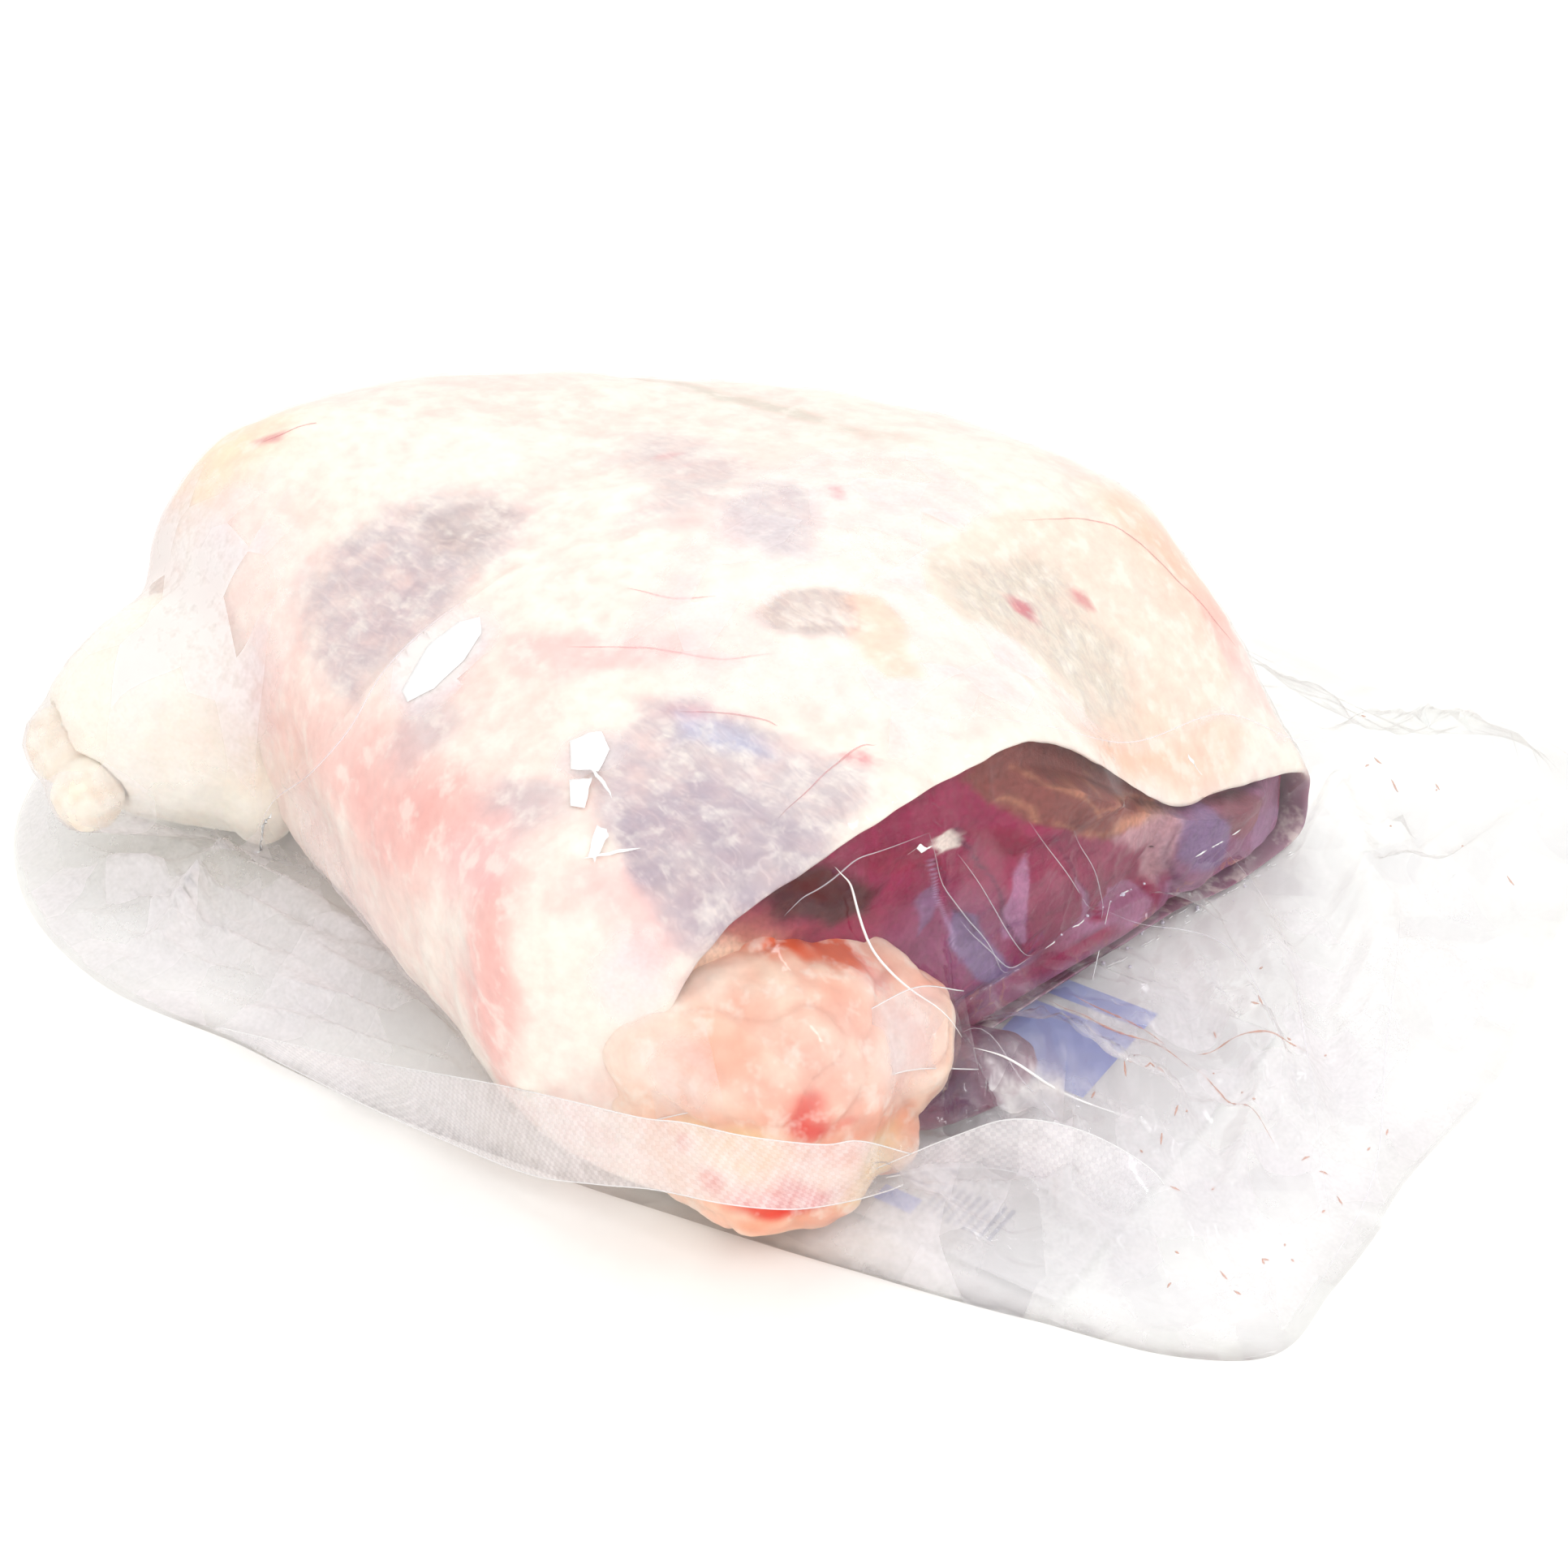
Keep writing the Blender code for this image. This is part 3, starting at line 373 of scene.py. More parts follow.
# Fields of long folds: the way they run in degrees, length, width and height in mm, and the
# middle and half sizes of where they lie
FOLD_FIELDS = (
    (14, 70, 8, 2.6, (-50, -140), (90, 34)),
    (8, 60, 5, 1.3, (-10, -140), (80, 30)),
    (80, 60, 9, 2.6, (-176, -20), (34, 90)),
    (-28, 50, 10, 3.0, (140, -30), (60, 60)),
    (48, 46, 8, 2.4, (130, -50), (60, 60)),
    (-60, 40, 7, 2.0, (150, 30), (50, 60)),
    (100, 60, 11, 3.2, (130, 80), (50, 60)),
    (-6, 70, 10, 3.0, (-20, 130), (110, 34)),
    (60, 60, 10, 2.6, (-130, 90), (60, 60)),
    (20, 40, 6, 1.6, (120, -100), (60, 26)),
)
# Creases where it lies on the meat: height and half width in mm, points in mm
CREASES = (
    (4.5, 8, ((-24, -76, 91), (-26, -84, 88), (-30, -96, 82), (-32, -108, 74), (-37, -120, 59), (-66, -115, 35), (-87, -109, 15))),
    (1.6, 3.5, ((24, -95, 84), (33, -105, 81), (44, -108, 80), (53, -119, 75), (58, -119, 73))),
    (0.6, 4, ((-26, -84, 88), (-14, -70, 94), (-4, -55, 97), (14, -34, 98), (13, -13, 98))),
    (0.5, 4, ((36, -6, 93), (52, -16, 90), (62, -5, 82), (73, -8, 77), (78, 1, 66), (78, 17, 55))),
    (2.5, 4, ((79, -42, 86), (86, -22, 77), (80, 17, 55), (77, 55, 47))),
    (2.0, 4, ((82, -58, 69), (79, -77, 71), (78, -87, 69), (77, -95, 63), (75, -105, 53))),
    (1.6, 3.5, ((79, -89, 49), (81, -104, 49), (74, -112, 42), (72, -125, 40))),
    (7.0, 8, ((84, -87, 74), (88, -80, 64), (92, -76, 54), (97, -73, 46), (100, -66, 30))),
    (1.6, 3, ((82, -58, 69), (81, -49, 49), (84, -41, 34), (83, -34, 18))),
    (1.4, 2.5, ((80, -50, 62), (85, -36, 36), (83, -27, 19))),
    (1.2, 2.5, ((83, -48, 43), (86, -38, 28), (83, -28, 17))),
    (1.4, 2.5, ((85, -30, 61), (86, -19, 44), (84, -4, 17))),
    (1.2, 2.5, ((86, -18, 54), (86, -8, 36), (83, 2, 11))),
    (1.5, 3, ((83, 44, 40), (84, 34, 24), (82, 26, 8))),
    (1.5, 3, ((84, 54, 34), (84, 50, 20), (82, 44, 8))),
)
# Where the film is hazy, and two patches on the top that are painted highlights round the bright flakes: middle and
# half sizes in mm, turn, amount, softness
HAZE_AND_HIGHLIGHT_PATCHES = (
    ((66, -122, 54), (9, 9, 10), 0, 0.45, 0.7),
    # Painted highlights: the glow round the bright flakes on the top
    ((-23, -99, 81), (11, 16, 10), 10, 0.80, 0.9),
    ((31, -102, 82), (7, 9, 5), 0, 0.55, 0.9),
    ((97, -84, 34), (16, 14, 10), 0, 0.24, 0.9),
    ((-90, -140, 6), (110, 44, 16), 8, 0.42, 1.3),
    ((150, -10, 6), (60, 90, 16), 0, 0.34, 1.3),
    ((120, 10, 8), (30, 60, 14), -30, 0.30, 1.2),
    ((80, -118, 40), (14, 14, 8), 0, 0.28, 0.7),
    ((86, -44, 40), (16, 8, 22), 10, 0.10, 0.3),
    ((110, 0, 8), (26, 34, 16), -30, 0.20, 1.0),
    ((86, 24, 2), (12, 66, 8), 0, 0.40, 0.9),
    ((-122, -112, 46), (46, 36, 46), 20, 0.74, 0.9),
    ((-96, -100, 40), (26, 14, 40), 30, 0.62, 1.0),
    ((112, -46, 8), (30, 30, 14), -30, 0.34, 1.0),
    ((116, -84, 6), (26, 22, 10), -30, 0.45, 1.0),
    ((-60, -116, 20), (70, 24, 22), 8, 0.22, 1.2),
)
# The same by outlines in plan: amount, width of the edge in mm, then x and y of each corner
HAZE_OUTLINES = (
    (0.40, 14, ((13, -80), (0, -55), (-6, -30), (-18, 8), (-3, 34), (30, 24), (44, 6), (52, -14), (66, 2), (79, 8), (88, -15), (84, -41), (78, -60), (54, -62), (38, -78))),
    (0.16, 3, ((44, -14), (60, 0), (70, 0), (80, 14), (90, 0), (88, -40), (70, -44), (54, -30))),
)
# Haze along creases that stands for the highlights of their ridges, a painted highlight: amount, half width in mm, then
# points in mm
CREASE_HIGHLIGHT_LINES = (
    (0.55, 1.8, ((-24, -76, 91), (-26, -84, 88), (-30, -96, 82), (-32, -108, 74), (-37, -120, 59), (-66, -115, 35), (-87, -109, 15))),
    (0.45, 1.5, ((79, -42, 86), (86, -22, 77), (80, 17, 55), (77, 55, 47), (82, 80, 30), (92, 110, 16))),
    (0.30, 2.0, ((24, -95, 84), (33, -105, 81), (44, -108, 80), (53, -119, 75), (58, -119, 73))),
    (0.35, 1.6, ((79, -89, 60), (81, -84, 66), (80, -70, 76), (78, -56, 84))),
    (0.55, 1.5, ((88, -46, 14), (91, -31, 14), (90, -10, 14), (93, 1, 14), (102, 4, 12), (115, -7, 12), (123, -23, 12))),
    (0.60, 2.5, ((88, -46, 10), (112, -43, 10), (138, -43, 10))),
    (0.40, 1.5, ((103, 16, 10), (113, 17, 10), (133, 7, 10), (149, -5, 10), (165, -40, 4))),
    (0.50, 1.6, ((112, 84, 7), (119, 70, 8), (133, 52, 8), (152, 20, 8), (167, -11, 8), (180, -41, 6), (190, -68, 3))),
)
# Painted highlights: flat white flakes laid on the film where it faces the light: the corners of each, in mm
HIGHLIGHT_FLAKES = (
    ((-22, -110, 75), (-26, -108, 75), (-29, -98, 81), (-27, -91, 85), (-23, -88, 87), (-19, -91, 86), (-17, -98, 83), (-18, -106, 79)),
    ((24, -102, 82), (28, -97, 84), (33, -99, 83), (36, -105, 81), (30, -107, 80)),
    ((32, -109, 79), (36, -106, 80), (41, -113, 79), (38, -114, 78)),
    ((47, -114, 77), (50, -114, 76), (53, -120, 74), (51, -120, 74)),
    ((-86, -108, 16), (-83, -108, 20), (-72, -113, 28), (-75, -114, 24)),
    ((80, -62, 66), (82, -60, 66.5), (83, -57, 65.5), (81.5, -59, 65)),
    ((85, 37, 40), (87, 37, 42), (85, 36, 48), (84, 35, 46)),
)
# Painted highlights on short crumples of film on the lower right of the cut, as small white tubes: start, end, spread
# in mm, and how many
HIGHLIGHT_CRUMPLES = (
    ((84, 31, 16), (82, 66, 6), (2, 4, 5), 22),
    ((86, -24, 17), (86, 26, 6), (1, 3, 2), 26),
    ((86, 26, 6), (87, 78, 2), (1, 3, 2), 20),
)
# Where it is wet and clings, so that no haze is left, by outlines in plan
WET_OUTLINES = (
    (1.0, 1.6, ((34, -5), (44, -16), (53, -15), (61, -1), (70, -3), (77, 4), (80, 20), (78, 43), (70, 69), (44, 68), (31, 44), (29, 18))),
    (0.9, 1.4, ((28, -52), (28, -43), (31, -37), (37, -32), (42, -28), (52, -30), (60, -36), (67, -39), (61, -46), (52, -46), (45, -43), (43, -48), (35, -53))),
)

# How loose and wrinkled the film is: middle and half sizes in mm, turn, amount, softness
LOOSE_PATCHES = (
    ((-20, -40, 90), (130, 90, 40), 0, 0.16, 0.8),
    ((120, -40, 6), (60, 90, 24), 0, 0.75, 0.8),
    ((110, 90, 10), (60, 70, 24), 0, 0.60, 0.8),
    ((84, -10, 44), (14, 74, 40), 0, 0.45, 0.4),
    ((62, 18, 78), (34, 17, 30), 46, 0.05, 0.2),
    ((86, -90, 36), (26, 30, 32), 0, 0.50, 0.6),
)

# Painted highlights along creases and film edges, as fine white strands: radius and points in mm
HIGHLIGHT_STRANDS = (
    (0.31, ((88, -86, 74), (92, -81, 66), (96, -77, 56), (101, -74, 47), (105, -68, 32))),
    (0.34, ((103, -60, 23), (108, -52, 18), (117, -47, 13), (138, -41, 9))),
    (0.18, ((82, -58, 69), (81, -49, 49), (84, -41, 34), (83, -34, 18))),
    (0.16, ((80, -50, 62), (85, -36, 36), (83, -27, 19))),
    (0.18, ((83, -48, 43), (86, -38, 28), (83, -28, 17))),
    (0.13, ((85, -30, 61), (86, -19, 44), (84, -4, 17))),
    (0.13, ((86, -18, 54), (86, -8, 36), (83, 2, 11))),
    (0.16, ((82, -58, 69), (79, -77, 71), (78, -87, 69), (77, -95, 63))),
    (0.16, ((79, -42, 86), (86, -22, 77), (80, 17, 55), (77, 55, 47), (82, 80, 30), (92, 110, 16))),
    (0.20, ((-26, -84, 88), (-30, -96, 82), (-32, -108, 74), (-37, -120, 59), (-66, -115, 35), (-87, -109, 15))),
    (0.18, ((98, -56, 18), (106, -50, 12), (122, -52, 8), (140, -58, 5))),
    (0.15, ((127, 55, 12), (155, 17, 8), (175, -12, 3), (187, -55, 1))),
    (0.15, ((89, -4, 14), (108, 12, 12), (138, -3, 12), (157, -16, 6))),
    (0.15, ((93, 37, 14), (122, 18, 12), (152, -5, 12), (176, -30, 4))),
)
# Strands with a radius in mm above this get the full white of a painted highlight, the rest a faint one
BRIGHT_FROM = 0.3
BAND_FADE = 0.022
# Short glints on the top: radius and points
GLINTS = (
    (0.45, ((33, -105, 81), (38, -106, 81), (44, -108, 80))),
    (0.40, ((57, -112, 76), (54, -116, 75), (50, -121, 73))),
)
# Fine veins in the fell: points in mm
VEINS = (
    ((3, -85, 89), (17, -76, 92), (32, -68, 92), (40, -58, 93)),
    ((0, -65, 95), (11, -61, 96), (18, -55, 96)),
    ((37, -83, 87), (50, -73, 87), (54, -71, 86)),
    ((72, -88, 79), (70, -65, 85), (72, -60, 85)),
    ((32, 30, 90), (38, 56, 81), (55, 69, 63), (63, 76, 50)),
    ((-120, -78, 93), (-112, -66, 95), (-104, -58, 96)),
)
# The sealed seam of the bag: its upper and lower edges, in mm
SEAM_TOP = (
    (-37, -160, 4), (-9, -146, 4), (8, -140, 7), (41, -140, 22), (64, -138, 30), (79, -133, 32),
    (89, -130, 35), (101, -125, 36), (109, -112, 31), (112, -104, 29), (114, -91, 19),
)
SEAM_BOTTOM = (
    (-24, -156, 1), (6, -151, 2), (30, -146, 3), (53, -142, 6), (71, -139, 13), (85, -135, 18),
    (103, -132, 24), (109, -120, 19), (111, -107, 14), (113, -97, 12), (114, -93, 12),
)
LOOP_TOP = ((109, -96, 15), (118, -82, 21), (126, -73, 25), (136, -62, 21), (148, -54, 13), (154, -54, 6))
LOOP_BOTTOM = ((110, -94, 12), (116, -82, 11), (126, -72, 10), (137, -68, 6), (148, -66, 3), (152, -63, 1))
# The fold of film that lies across the pocket
VEIL_TOP = ((74, -127, 41), (86, -114, 46), (94, -106, 48), (98, -92, 46), (100, -76, 46), (99, -60, 36))
VEIL_BOTTOM = ((78, -128, 28), (87, -122, 33), (99, -111, 39), (106, -97, 37), (107, -82, 32), (106, -62, 20))
# Streaks and flecks of juice on the loose film: streaks by points on the table in mm
JUICE = (
    ((101, -35), (108, -33), (117, -28), (126, -22), (133, -22)),
    ((105, -30), (115, -25), (124, -21)),
    ((132, -21), (139, -21), (146, -22), (156, -23)),
    ((129, -16), (131, -11), (141, -4), (147, 5)),
)
FLECKS = ((150, -20, 26, 34, 26), (110, 96, 26, 16, 9), (172, -60, 14, 20, 8))
# Painted glints of juice bubbles along the cut's lower edge: x, y, z and half sizes in mm, and how many
SPARKLES = ((83, 50, 7, 5, 26, 4, 60), (84, 2, 12, 4, 14, 4, 26))

# ---------------------------------------------------------------- small helpers


def linear(code):
    """An sRGB hex colour as linear red, green and blue."""
    parts = [int(code[place:place + 2], 16) / 255 for place in (1, 3, 5)]
    return [part / 12.92 if part <= 0.04045 else ((part + 0.055) / 1.055) ** 2.4 for part in parts]


def ease(share):
    """A soft step from 0 to 1."""
    share = np.clip(share, 0.0, 1.0)
    return share * share * (3 - 2 * share)


def soft_step(share):
    share = min(max(share, 0.0), 1.0)
    return share * share * (3 - 2 * share)


def between(rows, at, column):
    """A smooth curve through one column of rows, whose first column goes up."""
    at = min(max(at, rows[0][0]), rows[-1][0])
    last = len(rows) - 1
    index = 0
    while index < last - 1 and at > rows[index + 1][0]:
        index += 1
    start, end = rows[index], rows[index + 1]
    before, after = rows[max(index - 1, 0)], rows[min(index + 2, last)]
    span = end[0] - start[0]
    slope_in = (end[column] - before[column]) / (end[0] - before[0]) * span
    slope_out = (after[column] - start[column]) / (after[0] - start[0]) * span
    t = (at - start[0]) / span
    return (
        start[column] * (2 * t**3 - 3 * t**2 + 1)
        + slope_in * (t**3 - 2 * t**2 + t)
        + end[column] * (3 * t**2 - 2 * t**3)
        + slope_out * (t**3 - t**2)
    )


def round_rows(rows):
    """Rows by bearing, closed round the full turn."""
    rows = sorted(rows)
    return [(rows[-1][0] - 360, *rows[-1][1:]), *rows, (rows[0][0] + 360, *rows[0][1:])]


def bumps(rows, x, bearing):
    """The summed height at x and bearing of soft bumps on the leg's side."""
    total = 0.0
    for middle, at, along, round_it, height in rows:
        turn = abs((bearing - at + 180) % 360 - 180)
        far = ((x - middle) / along) ** 2 + (turn / round_it) ** 2
        if far < 12:
            total += height * math.exp(-far)
    return total


def leg_point(x, bearing, share, depth, skin):
    """A point of the leg's section at x, depth inside its outer skin. share is 1 on the
    side and 0 on the leg's middle line."""
    along = (x - TAIL_X) / LEG_LENGTH
    near = between(LEG_SECTIONS, along, 1) * LEG_WIDTH
    far = between(LEG_SECTIONS, along, 2) * LEG_WIDTH
    top = between(LEG_SECTIONS, along, 3) * LEG_HEIGHT
    middle_z = top * WIDEST_AT
    middle_y = (near + far) / 2
    out = bumps(SWELLS, x, bearing) * skin - depth
    side, lift = math.cos(math.radians(bearing)), math.sin(math.radians(bearing))
    if lift < 0:
        reach_z, power = middle_z * UNDERSIDE_DROP + out, 2 / between(LEG_SECTIONS, along, 5)
    else:
        reach_z, power = top - middle_z + out, 2 / SQUARENESS
        if side > 0:
            power += (2 / between(LEG_SECTIONS, along, 4) - power) * (side * lift * 2)
    across = (far - near) / 2 + out
    y = middle_y + share * across * math.copysign(abs(side) ** power, side)
    z = middle_z + share * reach_z * math.copysign(abs(lift) ** power, lift)
    front = max(0.0, (x - FRONT_START) / (CUT_X - FRONT_START))
    z *= 1 - SHOULDER_SLOPE * front**1.5 * soft_step((y - SHOULDER_START_Y) / (SHOULDER_END_Y - SHOULDER_START_Y))
    if y > 0:
        setback = FAR_SETBACK * (y / far) ** 2
    else:
        setback = NEAR_SETBACK * (y / near) ** 2 * soft_step(z / NEAR_SETBACK_Z)
    curl = CURL_RISE * max(0.0, (x - CURL_START) / (CUT_X - CURL_START)) ** 1.5
    curl *= 1 - soft_step((y - CURL_END_Y[0]) / (CURL_END_Y[1] - CURL_END_Y[0]))
    floor = min(depth, FAT_THICKNESS + LEAN_GAP)
    return Vector((x - setback * front, y, max(z, floor + curl))) + SHIFT


def tail_point(angle, bearing, depth):
    """A point of the leg's round far end: angle is 0 at its tip and 90 where it ends."""
    turn = math.radians(angle)
    x = TAIL_X + depth + (TAIL_ROUND - depth) * (1 - math.cos(turn))
    return leg_point(x, bearing, math.sin(turn), depth, math.sin(turn))


def fat_depth(x, bearing):
    """How thick the fat is at x and bearing."""
    return FAT_THICKNESS + bumps(FAT_CHANGES, x, bearing)


def side_x(ring, rings):
    return TAIL_END_X + (SIDE_END_X - TAIL_END_X) * ring / rings


def ringed_mesh(segments, rings, place):
    """A bmesh sphere whose points are laid where place(ring, segment) says."""
    bm = bmesh.new()
    bmesh.ops.create_uvsphere(bm, u_segments=segments, v_segments=rings, radius=1)
    for vert in bm.verts:
        polar = math.acos(max(-1.0, min(1.0, -vert.co.z)))
        turn = math.atan2(vert.co.y, vert.co.x) / math.tau * segments
        vert.co = place(round(polar / math.pi * rings), round(turn) % segments)
    return bm


def finish_piece(bm, name, materials, replaced):
    """Turns a bmesh into a piece of the object that rides on its body."""
    bmesh.ops.recalc_face_normals(bm, faces=bm.faces)
    mesh = bpy.data.meshes.new(name)
    bm.to_mesh(mesh)
    bm.free()
    mesh.shade_smooth()
    return place_piece(mesh, name, materials, replaced)


def place_piece(mesh, name, materials, replaced):
    piece = bpy.data.objects.new(name, mesh)
    bpy.context.scene.collection.objects.link(piece)
    for made in materials:
        mesh.materials.append(made)
    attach(piece, "root")
    if replaced:
        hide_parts(*replaced)
    return piece


def points_of(mesh):
    flat = np.empty(len(mesh.vertices) * 3)
    mesh.vertices.foreach_get("co", flat)
    return flat.reshape(-1, 3)


def normals_of(mesh):
    flat = np.empty(len(mesh.vertices) * 3, dtype=np.float32)
    mesh.vertex_normals.foreach_get("vector", flat)
    return flat.reshape(-1, 3)


def set_points(mesh, points):
    mesh.vertices.foreach_set("co", points.ravel())
    mesh.update()


def noise_at(points, size, seed):
    """Smooth noise from about -1 to 1 at points, with lumps of about size metres."""
    moved = points / size + np.array((seed * 17.3, seed * 5.1, seed * 9.7))
    return np.array([noise.noise(Vector(point)) for point in moved])


def creased_at(points, size, seed):
    """Ridged noise from 0 to 1: sharp creases where it is 1."""
    return 1 - np.abs(noise_at(points, size, seed)) * 2.2


def paint_values(mesh, name, values):
    layer = mesh.attributes.new(name, "FLOAT", "POINT")
    layer.data.foreach_set("value", np.ascontiguousarray(values, dtype=np.float32))


def paint_colours(mesh, name, colours):
    layer = mesh.attributes.new(name, "FLOAT_COLOR", "POINT")
    full = np.ones((len(colours), 4), dtype=np.float32)
    full[:, :3] = colours
    layer.data.foreach_set("color", full.ravel())


def patch_weight(points, middle, half, turn, strength, softness, wobble):
    """How much of a patch lies on each point: a turned ellipsoid with an uneven edge."""
    off = points - np.array(middle) * MM
    cos, sin = math.cos(math.radians(turn)), math.sin(math.radians(turn))
    along = (off[:, 0] * cos + off[:, 1] * sin) / (half[0] * MM)
    across = (off[:, 1] * cos - off[:, 0] * sin) / (half[1] * MM)
    lift = off[:, 2] / (half[2] * MM)
    reach = np.sqrt(along**2 + across**2 + lift**2) + wobble
    return strength * ease((1 - reach) / softness + 0.5)


def paint_patches(points, colours, patches, wobble):
    """Lays each patch's tissue colour over the colours."""
    for tissue, middle, half, turn, strength, softness in patches:
        weight = patch_weight(points, middle, half, turn, strength, softness, wobble)[:, None]
        colours = colours * (1 - weight) + np.array(linear(TISSUES[tissue])) * weight
    return colours


def outline_weight(points, axes, outline, strength, softness, wobble):
    """How much of an outlined patch lies on each point. The outline is in mm on two axes, and
    softness is the width of its edge in mm."""
    flat = points[:, axes] / MM
    inside = np.zeros(len(flat), dtype=bool)
    for start, end in zip(outline, (*outline[1:], outline[0])):
        if start[1] != end[1]:
            at = start[0] + (flat[:, 1] - start[1]) * (end[0] - start[0]) / (end[1] - start[1])
            inside ^= ((start[1] > flat[:, 1]) != (end[1] > flat[:, 1])) & (flat[:, 0] < at)
    off = off_line(points[:, axes], (*outline, outline[0])) / MM
    depth = np.where(inside, off, -off) + wobble * softness
    return strength * ease(depth / softness + 0.5)


def drifted(points, size, reach, seed):
    """Points moved about by smooth noise, so that what is painted by them has uneven edges."""
    moved = points / size + np.array((seed * 11.7, seed * 3.9, seed * 7.3))
    return points + np.array([noise.noise_vector(Vector(point)) for point in moved]) * reach


def off_line(points, line):
    """How far each point is from a line through the given points, in metres."""
    nearest = np.full(len(points), 1e9)
    line = [np.array(point) * MM for point in line]
    size = len(line[0])
    for start, end in zip(line, line[1:]):
        way = end - start
        share = np.clip((points[:, :size] - start) @ way / (way @ way), 0, 1)
        nearest = np.minimum(nearest, np.linalg.norm(points[:, :size] - start - share[:, None] * way, axis=1))
    return nearest


def remeshed_copy(node, name, voxel, rounds, added=()):
    """A fine copy of a CAD node's mesh, for a piece that stands for it."""
    bm = bmesh.new()
    bm.from_mesh(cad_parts[node].data)
    bmesh.ops.remove_doubles(bm, verts=bm.verts, dist=0.00001)
    for x, y, z, *radii in added:
        ball = bmesh.ops.create_uvsphere(bm, u_segments=32, v_segments=20, radius=MM)
        bmesh.ops.scale(bm, vec=radii, verts=ball["verts"])
        bmesh.ops.translate(bm, vec=Vector((x, y, z)) * MM, verts=ball["verts"])
    mesh = bpy.data.meshes.new(name)
    bm.to_mesh(mesh)
    bm.free()
    holder = bpy.data.objects.new(name + "_start", mesh)
    bpy.context.scene.collection.objects.link(holder)
    change = holder.modifiers.new("fine", "REMESH")
    change.mode = "VOXEL"
    change.voxel_size = voxel
    graph = bpy.context.evaluated_depsgraph_get()
    fine = bpy.data.meshes.new_from_object(holder.evaluated_get(graph))
    bpy.data.objects.remove(holder)
    bpy.data.meshes.remove(mesh)
    fine.name = name
    bm = bmesh.new()
    bm.from_mesh(fine)
    for _ in range(rounds):
        bmesh.ops.smooth_vert(bm, verts=bm.verts, factor=0.5, use_axis_x=True, use_axis_y=True, use_axis_z=True)
    bm.to_mesh(fine)
    bm.free()
    fine.shade_smooth()
    return fine


def smooth_line(line, steps):
    """Points on a smooth line through the given ones, in metres."""
    rows = [(index, *(part * MM for part in point)) for index, point in enumerate(line)]
    count = (len(line) - 1) * steps
    return [Vector([between(rows, index / steps, column) for column in (1, 2, 3)]) for index in range(count + 1)]


def add_tube(bm, path, radii, sides):
    """Adds a closed tube along a path to a bmesh, by extruding a circle."""
    loop = bmesh.ops.create_circle(bm, segments=sides, radius=1)["verts"]
    around = [math.atan2(vert.co.y, vert.co.x) for vert in loop]
    edges = list({edge for vert in loop for edge in vert.link_edges})
    first = list(loop)
    for index, point in enumerate(path):
        way = (path[min(index + 1, len(path) - 1)] - path[max(index - 1, 0)]).normalized()
        right = way.cross(Vector((0, 0, 1)))
        right = right.normalized() if right.length > 0.01 else Vector((1, 0, 0))
        up = right.cross(way)
        for vert, turn in zip(loop, around):
            vert.co = point + (right * math.cos(turn) + up * math.sin(turn)) * radii[index]
        if index < len(path) - 1:
            grown = bmesh.ops.extrude_edge_only(bm, edges=edges)["geom"]
            edges = [part for part in grown if isinstance(part, bmesh.types.BMEdge)]
            new = {part for part in grown if isinstance(part, bmesh.types.BMVert)}
            edges = [edge for edge in edges if all(vert in new for vert in edge.verts)]
            pairs = {}
            for vert in loop:
                for edge in vert.link_edges:
                    other = edge.other_vert(vert)
                    if other in new:
                        pairs[vert] = other
            loop = [pairs[vert] for vert in loop]
    for ends in (first, loop):
        bmesh.ops.contextual_create(bm, geom=ends)


# ---------------------------------------------------------------- materials


def add_node(tree, kind, settings=None, **links):
    """Adds a node: settings are its properties and its inputs' values, links its inputs' sources."""
    made = tree.nodes.new(kind)
    for key, value in (settings or {}).items():
        if hasattr(made, key):
            setattr(made, key, value)
        else:
            made.inputs[int(key) if key.isdigit() else key].default_value = value
    for key, source in links.items():
        place = made.inputs[int(key[1:])] if key[1:].isdigit() else made.inputs[key.replace("_", " ")]
        tree.links.new(source, place)
    return made


def new_material(name):
    made = bpy.data.materials.new(name)
    made.use_nodes = True
    made.node_tree.nodes.clear()
    output = made.node_tree.nodes.new("ShaderNodeOutputMaterial")
    return made, made.node_tree, output


def object_place(tree, scale=(1, 1, 1), turn=(0, 0, 0)):
    """Object coordinates, stretched and turned."""
    where = add_node(tree, "ShaderNodeTexCoord")
    return add_node(
        tree, "ShaderNodeMapping", {"Scale": scale, "Rotation": turn}, Vector=where.outputs["Object"]
    ).outputs["Vector"]


def mixed(tree, factor, first, second, blend="MIX"):
    """A mix of two colours; each may be a socket or a colour."""
    made = add_node(tree, "ShaderNodeMix", {"data_type": "RGBA", "blend_type": blend})
    for place, value in ((0, factor), (6, first), (7, second)):
        if isinstance(value, bpy.types.NodeSocket):
            tree.links.new(value, made.inputs[place])
        else:
            made.inputs[place].default_value = value
    return made.outputs[2]


def ranged(tree, value, low, high, to_low=0.0, to_high=1.0):
    """A value moved from one range to another, and kept inside it."""
    settings = {"From Min": low, "From Max": high, "To Min": to_low, "To Max": to_high}
    return add_node(tree, "ShaderNodeMapRange", settings, Value=value).outputs["Result"]


